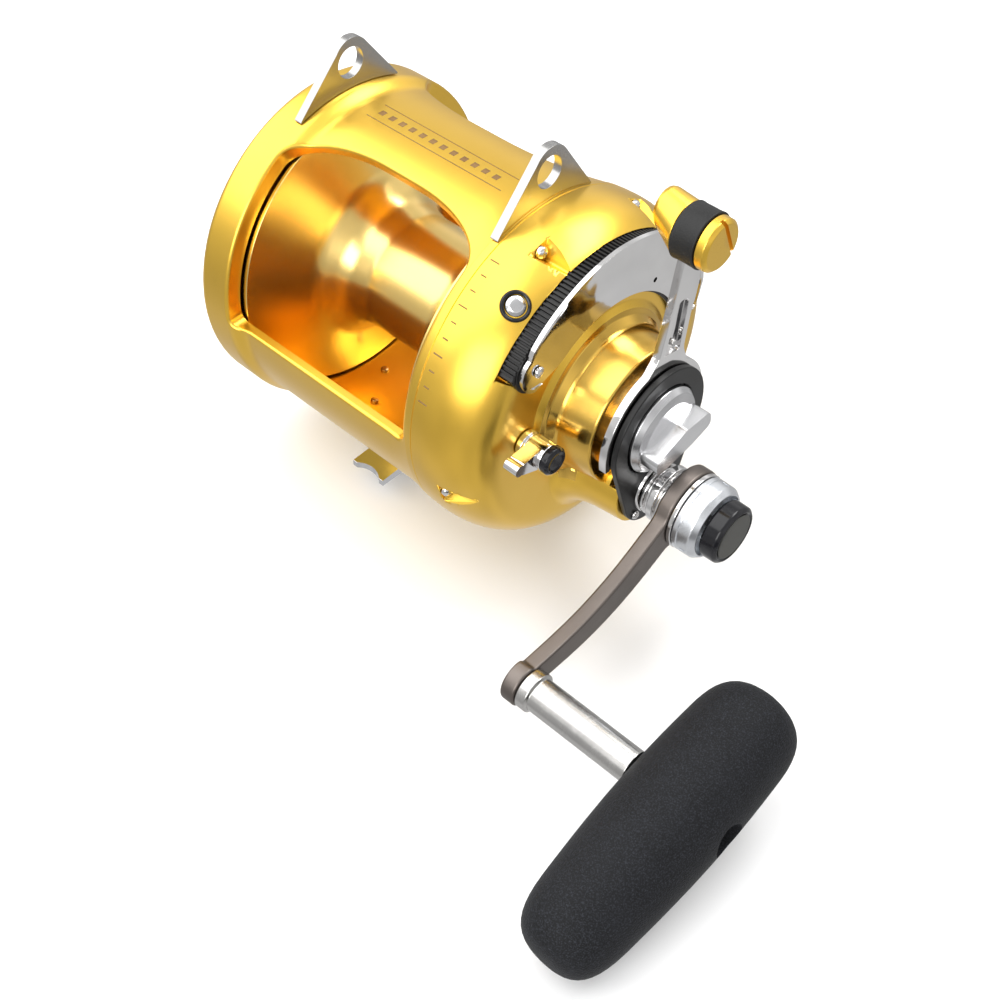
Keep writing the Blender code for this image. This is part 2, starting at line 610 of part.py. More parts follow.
def make_gear(name, teeth, x0, x1, look, axis):
    gear = prism(name, gear_outline(teeth, 90.0 + 180.0 / teeth), x0, x1, look, axis)
    bored(gear, 5.4, x0 - 2.0, x1 + 2.0)


def make_gear_train(gear_look, steel, crank):
    make_gear("low_gear", LOW_TEETH[0], 64.4, 70.4, gear_look, crank)
    make_gear("high_gear", HIGH_TEETH[0], 72.2, 77.2, gear_look, crank)
    wheel = prism("anti_reverse_ratchet", ratchet_outline(16, 13.2, 11.0), 60.6, 63.6, steel, crank)
    bored(wheel, 5.4, 58.0, 66.0)
    shaft = turned("gear_shaft", [(57.4, 2.4), (57.4, SHAFT_R), (107.8, SHAFT_R), (107.8, 8.0),
                                  (118.6, 8.0), (118.6, SHAFT_R), (129.6, SHAFT_R), (129.6, 2.4)],
                   steel, crank, (0, 0), SMALL)
    bm = bmesh.new()
    add_prism(bm, [(-1.4, -6.0), (1.4, -6.0), (1.4, 6.0), (-1.4, 6.0)], 65.0, 77.0)
    cut(shaft, as_cutter(finish_mesh("shift_slot", bm, None, crank)))
    turned("gear_bearing_outer", ring(93.6, 99.8, 5.3, 10.0), steel, crank, (0, 0), SMALL)
    dog_axis = make_axis("dog_axis", DOG_PIVOT[0], DOG_PIVOT[1], crank)
    tip = (DOG_TIP[0] - DOG_PIVOT[0], DOG_TIP[1] - DOG_PIVOT[1])
    local = link_outline((0.0, 0.0), 3.0, tip, 1.0, 2.0, 0.9, 0.0, 2)
    dog = prism("anti_reverse_dog", local, 60.8, 63.4, steel, dog_axis)
    bored(dog, 1.5, 58.0, 66.0, (0, 0), TINY)
    turned("dog_pin", rod(60.3, 64.0, 1.15), steel, crank, DOG_PIVOT, TINY)


def make_crank(arm_look, ring_look, collar_look, steel, crank):
    outline = link_outline((0.0, 0.0), 15.4, CRANK_END, 8.2, 6.6, 4.8, 3.0)
    arm = prism("crank_arm", outline, ARM_X[0], ARM_X[1], arm_look, crank)
    bored(arm, SHAFT_R + 0.3, 115.0, 130.0, (0, 0), SMALL)
    bored(arm, 4.3, 115.0, 130.0, CRANK_END, SMALL)
    turned("arm_washer", ring(125.3, 127.0, 5.4, 15.0), ring_look, crank)
    turned("handle_collar", [(127.3, 14.7), (134.6, 14.7), (136.6, 13.4), (136.6, 12.2), (129.9, 12.2),
                             (129.9, 5.4), (127.3, 5.4)], collar_look, crank)
    collar_x = GRIP_X - GRIP_R + 1.0
    end_x = GRIP_X + 13.0
    turned("grip_spindle", [(119.4, 0.0), (119.4, 4.0), (125.3, 4.0), (125.3, 7.6), (129.6, 7.6),
                            (129.6, 6.3), (collar_x, 6.3), (collar_x, 4.0), (end_x, 4.0), (end_x, 0.0)],
           steel, crank, CRANK_END, SMALL)


def make_shift(button_look, steel, crank):
    """The button stands on the shift rod; the rod's key slides in the gear shaft's slot."""
    turned("shift_button", [(137.0, 0.0), (137.0, 11.0), (138.0, 11.6), (143.2, 11.4), (144.4, 10.2),
                            (144.4, 0.0)], button_look, crank)
    shift = turned("shift_rod", rod(66.0, 136.7, 2.0), steel, crank, (0, 0), TINY)
    key = [(-1.0, -4.7), (1.0, -4.7), (1.0, 4.7), (-1.0, 4.7)]
    join(shift, prism("shift_key", key, 73.0, 75.6, None, crank))


def make_grip(foam, screw_look, grip_axis):
    """A tapered capsule whose long axis leans GRIP_ANGLE; it is bored for its spindle."""
    bm = bmesh.new()
    length = GRIP_HIGH - GRIP_LOW
    stations = ((0.0, 0.0), (0.012, 0.42), (0.06, 0.74), (0.15, 0.90), (0.42, 0.985),
                (0.70, 1.0), (0.88, 0.93), (0.955, 0.74), (0.99, 0.44), (1.0, 0.0))
    profile = [(GRIP_LOW + length * t, GRIP_R * r) for t, r in stations]
    add_turned(bm, profile, (0, 0), MEDIUM)
    stand = (Matrix.Rotation(math.radians(GRIP_ANGLE), 4, "X")
             @ Matrix.Rotation(math.radians(90.0), 4, "Z"))
    place = Matrix.Translation((GRIP_X * MM, 0.0, 0.0))
    bmesh.ops.transform(bm, matrix=place @ stand, verts=bm.verts)
    grip = finish_mesh("grip", bm, foam, grip_axis)
    cutter = [(165.0, 0.0), (165.0, 7.0), (172.4, 7.0), (172.4, 4.4), (203.0, 4.4), (203.0, 6.4),
              (215.0, 6.4), (215.0, 0.0)]
    cut(grip, turned_cutter("grip_bore", [(cutter, (0.0, 0.0))], grip_axis, SMALL))
    turned("grip_screw", [(204.4, 0.0), (204.4, 5.2), (206.4, 5.2), (207.2, 4.2), (207.2, 0.0)],
           screw_look, grip_axis, (0, 0), SMALL)


# ---------------------------------------------------------------- clicker

def make_clicker(chrome, black, steel, click_axis):
    tongue = link_outline((0.0, 0.0), 5.4, polar(13.0, 172.0), 2.6, 4.0, 2.4, 0.0, 2)
    lever = prism("clicker_lever", tongue, 82.5, 86.5, chrome, click_axis)
    foot_x = FACE_X + GAP
    post = [(foot_x, 0.0), (foot_x, 4.4), (90.5, 5.2), (90.5, 0.0)]
    join(lever, turned("clicker_post", post, None, click_axis, (0, 0), SMALL))
    bored(lever, 1.9, 70.0, 88.0, (0, 0), TINY)
    turned("clicker_cap", [(90.8, 0.0), (90.8, 5.4), (93.0, 5.4), (93.8, 4.6), (93.8, 0.0)], black,
           click_axis, (0, 0), SMALL)
    shaft = turned("click_pawl", rod(51.6, 87.6, 1.6), steel, click_axis, (0, 0), TINY)
    pawl = link_outline((0.0, 0.0), 3.4, polar(13.2, 205.0), 1.0, 2.2, 0.9, 0.0, 2)
    join(shaft, prism("pawl_arm", pawl, 51.2, 53.8, None, click_axis))


# ---------------------------------------------------------------- assembly

clear_scene()

GOLD = make_material("gold_anodised", (0.83, 0.60, 0.16), 0.32, 0.9)
DEEP_GOLD = make_material("spool_gold", (0.80, 0.48, 0.10), 0.18, 1.0)
CHROME = make_material("chrome", (0.82, 0.82, 0.84), 0.12, 1.0)
STEEL = make_material("steel", (0.62, 0.61, 0.60), 0.28, 1.0)
SILVER = make_material("brushed_aluminium", (0.80, 0.82, 0.85), 0.34, 0.9)
BRONZE = make_material("gear_bronze", (0.66, 0.47, 0.24), 0.35, 1.0)
ARM_GREY = make_material("arm_grey", (0.40, 0.36, 0.33), 0.45, 0.5)
BLACK = make_material("black_plastic", (0.03, 0.03, 0.03), 0.42, 0.0)
RUBBER = make_material("band_rubber", (0.05, 0.05, 0.05), 0.65, 0.0)
CARBON = make_material("drag_carbon", (0.10, 0.10, 0.11), 0.75, 0.0)
FOAM = make_material("grip_foam", (0.05, 0.05, 0.055), 0.90, 0.0)

spool_axis = make_axis("spool_axis", 0.0, AXIS_HEIGHT)
crank_axis = make_axis("crank_axis", 0.0, -GEAR_CENTRES, spool_axis)
grip_axis = make_axis("grip_axis", CRANK_END[0], CRANK_END[1], crank_axis)
click_axis = make_axis("click_axis", CLICK_PIVOT[0], CLICK_PIVOT[1], spool_axis)
strike_axis = make_strike_axis(spool_axis)

make_frame(GOLD, spool_axis)
make_left_plate(GOLD, SILVER, spool_axis)
make_right_plate(GOLD, spool_axis, crank_axis, strike_axis)
make_bridge(SILVER, STEEL, spool_axis, crank_axis)
make_foot(CHROME, STEEL, spool_axis)
make_lugs(CHROME, spool_axis)
make_plate_screws(STEEL, spool_axis)
make_quadrant(BLACK, CHROME, STEEL, spool_axis)
make_lever(CHROME, GOLD, RUBBER, spool_axis)
make_end_cover(BLACK, STEEL, spool_axis, crank_axis)
make_strike_button(BLACK, CHROME, strike_axis)
make_spool(DEEP_GOLD, spool_axis)
make_click_ratchet(STEEL, spool_axis)
make_drag(CARBON, STEEL, spool_axis)
make_pinions(STEEL, spool_axis)
make_shaft(STEEL, STEEL, STEEL, spool_axis)
make_preset_knob(CHROME, spool_axis)
make_gear_train(BRONZE, STEEL, crank_axis)
make_crank(ARM_GREY, BLACK, SILVER, STEEL, crank_axis)
make_shift(BLACK, STEEL, crank_axis)
make_grip(FOAM, STEEL, grip_axis)
make_clicker(CHROME, BLACK, STEEL, click_axis)
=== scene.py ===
"""Looks of a two-speed lever-drag trolling reel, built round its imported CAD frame.

Lengths are millimetres, measured from the axis that a piece is made on: the spool axis, the
crank axis or a knob's own. Profiles are (x, radius) and outlines (y, z); angles are degrees
in the YZ plane, 0 along +Y and 90 straight up. A third number in a point is the radius of
that corner. MM turns millimetres into metres.
"""
import math

import bmesh
import bpy
from mathutils import Matrix, Vector


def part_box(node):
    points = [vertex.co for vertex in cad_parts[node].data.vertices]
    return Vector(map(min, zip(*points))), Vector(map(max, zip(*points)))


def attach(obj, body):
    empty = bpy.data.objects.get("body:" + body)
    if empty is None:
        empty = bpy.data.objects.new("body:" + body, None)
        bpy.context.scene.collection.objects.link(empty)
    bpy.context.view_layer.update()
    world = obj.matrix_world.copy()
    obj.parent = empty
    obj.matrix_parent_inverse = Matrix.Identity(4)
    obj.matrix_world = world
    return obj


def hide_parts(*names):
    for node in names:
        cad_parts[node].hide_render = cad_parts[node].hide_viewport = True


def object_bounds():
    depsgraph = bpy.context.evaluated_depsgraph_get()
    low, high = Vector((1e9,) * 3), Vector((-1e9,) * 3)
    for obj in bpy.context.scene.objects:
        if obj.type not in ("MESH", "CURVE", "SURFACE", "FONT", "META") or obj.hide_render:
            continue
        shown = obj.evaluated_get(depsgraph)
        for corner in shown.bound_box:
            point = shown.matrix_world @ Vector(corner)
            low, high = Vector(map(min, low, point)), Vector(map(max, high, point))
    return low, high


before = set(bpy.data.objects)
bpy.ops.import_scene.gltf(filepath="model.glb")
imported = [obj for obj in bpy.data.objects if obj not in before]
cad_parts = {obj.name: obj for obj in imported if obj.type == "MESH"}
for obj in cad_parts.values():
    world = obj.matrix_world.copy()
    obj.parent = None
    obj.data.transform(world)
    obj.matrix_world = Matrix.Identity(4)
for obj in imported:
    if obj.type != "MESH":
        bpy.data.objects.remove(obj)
CAD_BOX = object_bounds()
MM = 0.001


def corners(node):
    low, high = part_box(node)
    return low / MM, high / MM


def axis_of(node):
    """The axis along X through the middle of a node's box."""
    low, high = corners(node)
    return Vector((0.0, (low.y + high.y) / 2.0, (low.z + high.z) / 2.0))


SPOOL_AXIS = axis_of("spool_shaft")
CRANK_AXIS = axis_of("gear_shaft")
GRIP_AXIS = axis_of("grip_spindle")
KNOB_AXIS = axis_of("lever_knob")
CLICK_AXIS = axis_of("clicker_cap")
LEFT_LOW, LEFT_HIGH = corners("left_side_plate")
RING_R = LEFT_HIGH.z - SPOOL_AXIS.z
SEAM_X = -LEFT_HIGH.x
PLATE_END_X = -LEFT_LOW.x
FRAME_END_X = corners("frame")[1].x
SPOOL_END_X = corners("spool")[1].x
SPOOL_R = corners("spool")[1].z - SPOOL_AXIS.z
HOUSING_X = corners("right_side_plate")[1].x
LEVER_LOW = corners("drag_lever")[0]
ARM_LOW, ARM_HIGH = corners("crank_arm")
PLATE_SCREW = (axis_of("quadrant_screw") - SPOOL_AXIS).yz
CRANK_DROP = SPOOL_AXIS.z - CRANK_AXIS.z
KNOB_REACH = (KNOB_AXIS - SPOOL_AXIS).length
KNOB_ANGLE = math.degrees(math.atan2(KNOB_AXIS.z - SPOOL_AXIS.z, KNOB_AXIS.y - SPOOL_AXIS.y))

SHELL_R = 64.8
CAVITY_R = 61.0
FACE_X = 79.0
LEVER_FACE_X = 104.6
FINE, ROUND, SMALL = 144, 72, 36                # steps round a circle
RIM_R = 66.0                                    # frame and right cover where they meet
WINDOW_HALF, WINDOW_LIP = 45.5, 1.3
REAR_WINDOW = (183.2, 107.0)                    # bottom and top edge
FRONT_WINDOW = (-8.5, 67.4)
TOP_CORNER, LOW_CORNER = (38.0, 19.0), (4.0, 4.0)    # along x, round the shell
SCREW_ANGLES = (60.0, 105.0, 196.0, 262.0, 340.0)
SCREW_CIRCLE_R = 63.6
POCKET_SEAT_X, POCKET_TIP_R, POCKET_SLOPE = 62.0, 59.9, 0.8


# ---------------------------------------------------------------- shapes

def polar(radius, degrees, centre=(0.0, 0.0)):
    """The y and z of a point at a radius and an angle about centre."""
    turn = math.radians(degrees)
    return (centre[0] + radius * math.cos(turn), centre[1] + radius * math.sin(turn))


def arc(radius, start, end, steps, centre=(0.0, 0.0)):
    return [polar(radius, start + (end - start) * k / steps, centre) for k in range(steps + 1)]


def bezier(p0, p1, p2, p3, steps):
    points = []
    for k in range(steps + 1):
        t = k / steps
        a, b, c, d = (1 - t) ** 3, 3 * t * (1 - t) ** 2, 3 * t * t * (1 - t), t ** 3
        points.append(tuple(a * w + b * x + c * y + d * z for w, x, y, z in zip(p0, p1, p2, p3)))
    return points


def rounded(points, radius, steps=5):
    """A closed outline with its corners turned into curves."""
    result = []
    for k, point in enumerate(points):
        size = point[2] if len(point) > 2 else radius
        here = Vector(point[:2])
        before = Vector(points[k - 1][:2]) - here
        after = Vector(points[(k + 1) % len(points)][:2]) - here
        if size == 0.0 or min(before.length, after.length) < 1e-6:
            result.append(tuple(here))
            continue
        half_turn = before.angle(after) / 2.0
        if half_turn > 1.5:
            result.append(tuple(here))
            continue
        reach = min(size / math.tan(half_turn), 0.48 * before.length, 0.48 * after.length)
        start, end = here + before.normalized() * reach, here + after.normalized() * reach
        for i in range(steps + 1):
            t = i / steps
            result.append(tuple(start * (1 - t) ** 2 + here * 2 * t * (1 - t) + end * t * t))
    return result


def new_object(name, bm, axis):
    bmesh.ops.recalc_face_normals(bm, faces=bm.faces)
    mesh = bpy.data.meshes.new(name)
    bm.to_mesh(mesh)
    bm.free()
    mesh.shade_smooth()
    obj = bpy.data.objects.new(name, mesh)
    obj.location = axis * MM
    bpy.context.collection.objects.link(obj)
    return obj


def add_turned(bm, profile, centre=(0.0, 0.0), steps=ROUND):
    rings = []
    for x, radius in profile:
        if radius < 1e-6:
            rings.append([bm.verts.new((x * MM, centre[0] * MM, centre[1] * MM))])
            continue
        points = [polar(radius, 360.0 * k / steps + 1.7, centre) for k in range(steps)]
        rings.append([bm.verts.new((x * MM, y * MM, z * MM)) for y, z in points])
    for near, far in zip(rings, rings[1:] + rings[:1]):
        if len(near) == 1 and len(far) == 1:
            continue
        for k in range(steps):
            nxt = (k + 1) % steps
            loop = [near[k % len(near)], far[k % len(far)], far[nxt % len(far)], near[nxt % len(near)]]
            bm.faces.new(list(dict.fromkeys(loop)))


def soften(profile, radius):
    """Rounds a turned profile, but not where it meets the axis."""
    return rounded([p if p[1] > 0.0 else (p[0], 0.0, 0.0) for p in profile], radius)


def turned(name, profile, axis=SPOOL_AXIS, centre=(0.0, 0.0), steps=ROUND, soft=0.4):
    bm = bmesh.new()
    add_turned(bm, soften(profile, soft), centre, steps)
    return new_object(name, bm, axis)


def add_prism(bm, outline, x0, x1):
    low = [bm.verts.new((x0 * MM, p[0] * MM, p[1] * MM)) for p in outline]
    high = [bm.verts.new((x1 * MM, p[0] * MM, p[1] * MM)) for p in outline]
    bm.faces.new(low)
    bm.faces.new(high[::-1])
    for k in range(len(outline)):
        nxt = (k + 1) % len(outline)
        bm.faces.new((low[k], high[k], high[nxt], low[nxt]))


def prism(name, outline, x0, x1, axis=SPOOL_AXIS):
    bm = bmesh.new()
    add_prism(bm, outline, x0, x1)
    return new_object(name, bm, axis)


def ring(x0, x1, inner, outer):
    """The profile of a washer between two x values."""
    return [(x0, outer), (x1, outer), (x1, inner), (x0, inner)]


def rod(x0, x1, radius):
    """The profile of a solid cylinder between two x values."""
    return [(x0, 0.0), (x0, radius), (x1, radius), (x1, 0.0)]


def combine(obj, other, operation="DIFFERENCE"):
    """Cuts other from obj, or joins it on, for good, and removes it."""
    modifier = obj.modifiers.new("combine", "BOOLEAN")
    modifier.operation = operation
    modifier.solver = "EXACT"
    modifier.object = other
    graph = bpy.context.evaluated_depsgraph_get()
    mesh = bpy.data.meshes.new_from_object(obj.evaluated_get(graph))
    obj.modifiers.clear()
    obj.data = mesh
    bpy.data.objects.remove(other)
    return obj


def bored(obj, radius, x0, x1, centre=(0.0, 0.0), steps=SMALL):
    axis = obj.location / MM
    return combine(obj, turned("bore", rod(x0, x1, radius), axis, centre, steps, 0.0))


def box_cutter(x0, x1, centre, size, angle, axis=SPOOL_AXIS):
    """A block whose outline is size, turned by angle about centre."""
    half_y, half_z = size[0] / 2.0, size[1] / 2.0
    outline = []
    for y, z in ((-half_y, -half_z), (half_y, -half_z), (half_y, half_z), (-half_y, half_z)):
        outline.append(polar(math.hypot(y, z), angle + math.degrees(math.atan2(z, y)), centre))
    return prism("block", outline, x0, x1, axis)


def mount(obj, look, body, nodes=(), edge=0.0, angle=32.0):
    """Bevels, shades and paints a piece, hides the nodes it stands for and puts it on its body."""
    if edge > 0.0:
        bevel = obj.modifiers.new("edges", "BEVEL")
        bevel.width = edge * MM
        bevel.segments = 3
        bevel.limit_method = "ANGLE"
        bevel.angle_limit = math.radians(angle)
    normals = obj.modifiers.new("normals", "WEIGHTED_NORMAL")
    normals.weight = 60
    obj.data.materials.clear()
    obj.data.materials.append(look)
    if nodes:
        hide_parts(*nodes)
    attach(obj, body)
    return obj


# ---------------------------------------------------------------- materials

def add_node(tree, kind, links=None, **settings):
    node = tree.nodes.new(kind)
    for key, value in settings.items():
        setattr(node, key, value)
    for key, value in (links or {}).items():
        if isinstance(value, bpy.types.NodeSocket):
            tree.links.new(value, node.inputs[key])
        else:
            node.inputs[key].default_value = value
    return node


def noise(tree, place, scale, detail=2.0, stretch=None):
    """Noise over the piece; scale is in waves per metre and stretch squeezes it per axis."""
    if stretch is not None:
        place = add_node(tree, "ShaderNodeMapping", {"Vector": place, "Scale": stretch}).outputs["Vector"]
    made = add_node(tree, "ShaderNodeTexNoise", {"Vector": place, "Scale": scale, "Detail": detail})
    return made.outputs["Fac"]


def spread(tree, value, low, high):
    """The middle part of a noise value, 0.3 to 0.7, stretched to run from low to high."""
    made = add_node(tree, "ShaderNodeMapRange", {"Value": value, "From Min": 0.3, "From Max": 0.7,
                                                 "To Min": low, "To Max": high})
    return made.outputs["Result"]


def blend_colour(tree, factor, first, second):
    made = add_node(tree, "ShaderNodeMix", data_type="RGBA")
    tree.links.new(factor, made.inputs["Factor"])
    for socket, value in ((made.inputs["A"], first), (made.inputs["B"], second)):
        if isinstance(value, bpy.types.NodeSocket):
            tree.links.new(value, socket)
        else:
            socket.default_value = (*value, 1.0)
    return made.outputs["Result"]


def lathe_place(tree, place):
    """Coordinates that change only along X and outwards, as marks from a lathe do."""
    parts = add_node(tree, "ShaderNodeSeparateXYZ", {"Vector": place}).outputs
    flat = add_node(tree, "ShaderNodeCombineXYZ", {"X": 0.0, "Y": parts["Y"], "Z": parts["Z"]})
    out = add_node(tree, "ShaderNodeVectorMath", {0: flat.outputs["Vector"]}, operation="LENGTH")
    joined = add_node(tree, "ShaderNodeCombineXYZ", {"X": parts["X"], "Y": out.outputs["Value"], "Z": 0.0})
    return joined.outputs["Vector"]


def make_look(name, slot, build):
    """A material whose Principled shader gets its values from build(tree, place)."""
    look = bpy.data.materials.new(name)
    look.use_nodes = True
    look["slot"] = slot
    tree = look.node_tree
    shader = tree.nodes["Principled BSDF"]
    place = add_node(tree, "ShaderNodeTexCoord").outputs["Object"]
    for key, value in build(tree, place).items():
        if isinstance(value, bpy.types.NodeSocket):
            tree.links.new(value, shader.inputs[key])
        else:
            shader.inputs[key].default_value = value
    return look


def metal(name, slot, colour, tint, roughness, grain=0.12, lathe=0.0, coat=0.0, uneven=0.035, ripple=0.0):
    """Anodised, plated or bare metal: cloudy tint, uneven gloss, grain, lathe marks and ripple."""
    def build(tree, place):
        cloud = noise(tree, place, 38.0, 3.0)
        fine = noise(tree, place, 5200.0, 2.0)
        smear = noise(tree, place, 260.0, 4.0, (1.0, 0.35, 0.35))
        base = blend_colour(tree, spread(tree, cloud, 0.0, 1.0), colour, tint)
        gloss = add_node(tree, "ShaderNodeMath", {0: spread(tree, fine, roughness * 0.86, roughness * 1.14),
                                                  1: spread(tree, smear, -uneven, uneven)}, operation="ADD")
        height = fine
        if lathe > 0.0:
            marks = noise(tree, lathe_place(tree, place), 2600.0, 3.0)
            mixed = add_node(tree, "ShaderNodeMix", {"Factor": lathe, "A": fine, "B": marks})
            height = mixed.outputs["Result"]
        bump = add_node(tree, "ShaderNodeBump", {"Height": height, "Strength": grain, "Distance": 0.00004})
        if ripple > 0.0:
            wave = noise(tree, place, 70.0, 1.0)
            bump = add_node(tree, "ShaderNodeBump", {"Height": wave, "Strength": 1.0, "Distance": ripple,
                                                     "Normal": bump.outputs["Normal"]})
        return {"Base Color": base, "Metallic": 1.0, "Roughness": gloss.outputs["Value"],
                "Normal": bump.outputs["Normal"], "Coat Weight": coat, "Coat Roughness": 0.28}
    return make_look(name, slot, build)


def moulded(name, slot, colour, tint, roughness, grain, scale):
    """Plastic or rubber: a fine moulded grain and slightly uneven gloss."""
    def build(tree, place):
        fine = noise(tree, place, scale, 3.0)
        cloud = noise(tree, place, 70.0, 3.0)
        base = blend_colour(tree, spread(tree, cloud, 0.0, 1.0), colour, tint)
        bump = add_node(tree, "ShaderNodeBump", {"Height": fine, "Strength": grain, "Distance": 0.00012})
        gloss = spread(tree, cloud, roughness * 0.88, roughness * 1.12)
        return {"Base Color": base, "Metallic": 0.0, "Roughness": gloss,
                "Normal": bump.outputs["Normal"], "Specular IOR Level": 0.35}
    return make_look(name, slot, build)


def foam(name, slot):
    """Black closed-cell foam: pale specks, small pits and a soft sheen."""
    def build(tree, place):
        cells = add_node(tree, "ShaderNodeTexVoronoi", {"Vector": place, "Scale": 1500.0}).outputs["Distance"]
        specks = noise(tree, place, 2100.0, 2.0)
        cloud = noise(tree, place, 55.0, 3.0)
        dark = blend_colour(tree, spread(tree, cloud, 0.0, 1.0),
                            (0.0035, 0.0038, 0.0046), (0.0065, 0.0070, 0.0085))
        pale = add_node(tree, "ShaderNodeMapRange", {"Value": specks, "From Min": 0.46, "From Max": 0.76})
        base = blend_colour(tree, pale.outputs["Result"], dark, (0.027, 0.029, 0.036))
        height = add_node(tree, "ShaderNodeMath", {0: cells, 1: specks}, operation="ADD").outputs["Value"]
        bump = add_node(tree, "ShaderNodeBump", {"Height": height, "Strength": 0.55, "Distance": 0.00022})
        return {"Base Color": base, "Roughness": spread(tree, specks, 0.58, 0.72),
                "Normal": bump.outputs["Normal"], "Specular IOR Level": 0.20,
                "Sheen Weight": 0.03, "Sheen Roughness": 0.45}
    return make_look(name, slot, build)


def weave(name, slot):
    """Woven carbon friction face: two crossing sets of fine ribs."""
    def build(tree, place):
        waves = [add_node(tree, "ShaderNodeTexWave", {"Vector": place, "Scale": 420.0, "Distortion": 0.6},
                          bands_direction=way).outputs["Fac"] for way in ("Y", "Z")]
        product = add_node(tree, "ShaderNodeMath", {0: waves[0], 1: waves[1]}, operation="MULTIPLY")
        crossed = product.outputs["Value"]
        base = blend_colour(tree, crossed, (0.028, 0.028, 0.031), (0.09, 0.09, 0.10))
        bump = add_node(tree, "ShaderNodeBump", {"Height": crossed, "Strength": 0.5, "Distance": 0.0001})
        return {"Base Color": base, "Roughness": spread(tree, crossed, 0.7, 0.5),
                "Normal": bump.outputs["Normal"]}
    return make_look(name, slot, build)


GOLD = metal("gold_satin", "gold", (0.98, 0.620, 0.080), (0.95, 0.592, 0.070), 0.32,
             grain=0.08, coat=0.30, uneven=0.010)
GOLD_BRIGHT = metal("gold_polished", "gold", (0.84, 0.53, 0.11), (0.80, 0.50, 0.095), 0.19,
                    grain=0.10, lathe=0.7, uneven=0.012)
DEEP_GOLD = metal("gold_spool", "spool_gold", (0.98, 0.70, 0.24), (0.96, 0.675, 0.22), 0.24,
                  grain=0.05, lathe=0.85, coat=0.25, uneven=0.004)
CHROME = metal("chrome_plate", "chrome", (0.82, 0.81, 0.80), (0.78, 0.77, 0.77), 0.075,
               grain=0.03, uneven=0.01, ripple=0.0005)
CHROME_SATIN = metal("chrome_satin", "chrome", (0.74, 0.74, 0.75), (0.68, 0.68, 0.69), 0.22, grain=0.08)
STEEL = metal("stainless", "steel", (0.60, 0.59, 0.57), (0.54, 0.53, 0.52), 0.24, grain=0.16, lathe=0.8)
SILVER = metal("brushed_aluminium", "silver", (0.80, 0.82, 0.85), (0.74, 0.76, 0.79), 0.30,
               grain=0.35, lathe=0.85)
LUG_METAL = metal("lug_steel", "chrome", (0.47, 0.465, 0.455), (0.42, 0.415, 0.41), 0.24,
                  grain=0.08, uneven=0.02)
BRONZE = metal("gear_bronze", "bronze", (0.62, 0.40, 0.17), (0.52, 0.32, 0.13), 0.30, grain=0.2)
ARM_GREY = metal("arm_blasted", "arm_grey", (0.205, 0.178, 0.160), (0.175, 0.152, 0.137), 0.42, grain=0.45)
BLACK = moulded("black_satin", "black", (0.007, 0.007, 0.007), (0.011, 0.0105, 0.010), 0.34, 0.25, 2600.0)
BLACK_GLOSS = moulded("black_gloss", "black", (0.010, 0.010, 0.012), (0.014, 0.014, 0.016),
                      0.13, 0.04, 1800.0)
CAP_GREY = moulded("button_face", "black", (0.055, 0.055, 0.05), (0.07, 0.069, 0.062), 0.55, 0.5, 4200.0)
RUBBER = moulded("band_rubber", "rubber", (0.009, 0.009, 0.009), (0.015, 0.015, 0.015), 0.50, 0.8, 2200.0)
# the engraved marks are coloured a flat dark brown
ENGRAVED = moulded("engraved_dark_brown", "gold", (0.19, 0.10, 0.03), (0.26, 0.15, 0.05), 0.55, 0.5, 3000.0)
FOAM = foam("grip_foam", "foam")
CARBON = weave("drag_carbon", "friction")


# ---------------------------------------------------------------- frame and covers

def window_outline(low, high, grow):
    """(x, degrees) round a window: long low curves beside the top bar, small corners below."""
    per_mm = 180.0 / (math.pi * SHELL_R)
    height = abs(high - low) / per_mm
    loop = []
    for start, side, top in ((-90, 1, 0), (0, 1, 1), (90, -1, 1), (180, -1, 0)):
        along, around = (size + grow for size in (TOP_CORNER if top else LOW_CORNER))
        centre = (side * (WINDOW_HALF + grow - along), height + grow - around if top else around - grow)
        for k in range(25):
            turn = math.radians(start + 90.0 * k / 24)
            loop.append((centre[0] + along * math.cos(turn), centre[1] + around * math.sin(turn)))
    dense = []
    for number, (here, after) in enumerate(zip(loop, loop[1:] + loop[:1])):
        steps = 18 if number % 25 == 24 else 1
        dense += [tuple(a + (b - a) * k / steps for a, b in zip(here, after)) for k in range(steps)]
    upwards = math.copysign(per_mm, high - low)
    return [(x, low + rise * upwards) for x, rise in dense]


def wall_radius(x):
    """Outer radius of the frame at x: waisted, with a higher ring on the left."""
    if x < 0.0:
        t = min(1.0, max(0.0, (-x - 38.5) / 7.0))
        return SHELL_R + (RING_R - SHELL_R) * t * t * (3.0 - 2.0 * t)
    t = min(1.0, max(0.0, (x - 36.0) / 12.0))
    return SHELL_R + (RIM_R - SHELL_R) * t * t


def window_cutter(window):
    """A window right through the wall whose outer lip is rounded off."""
    layers = [(-12.0, 0.0)]
    for k in range(7):
        turn = math.radians(15.0 * k)
        layers.append((WINDOW_LIP * (math.sin(turn) - 1.0), WINDOW_LIP * (1.0 - math.cos(turn))))
    layers.append((30.0, WINDOW_LIP))
    bm = bmesh.new()
    loops = []
    for rise, grow in layers:
        points = [(x, *polar(wall_radius(x) + rise, angle)) for x, angle in window_outline(*window, grow)]
        loops.append([bm.verts.new((x * MM, y * MM, z * MM)) for x, y, z in points])
    bm.faces.new(loops[0])
    bm.faces.new(loops[-1][::-1])
    for near, far in zip(loops, loops[1:]):
        for k in range(len(near)):
            nxt = (k + 1) % len(near)
            bm.faces.new((near[k], far[k], far[nxt], near[nxt]))
    return new_object("window", bm, SPOOL_AXIS)


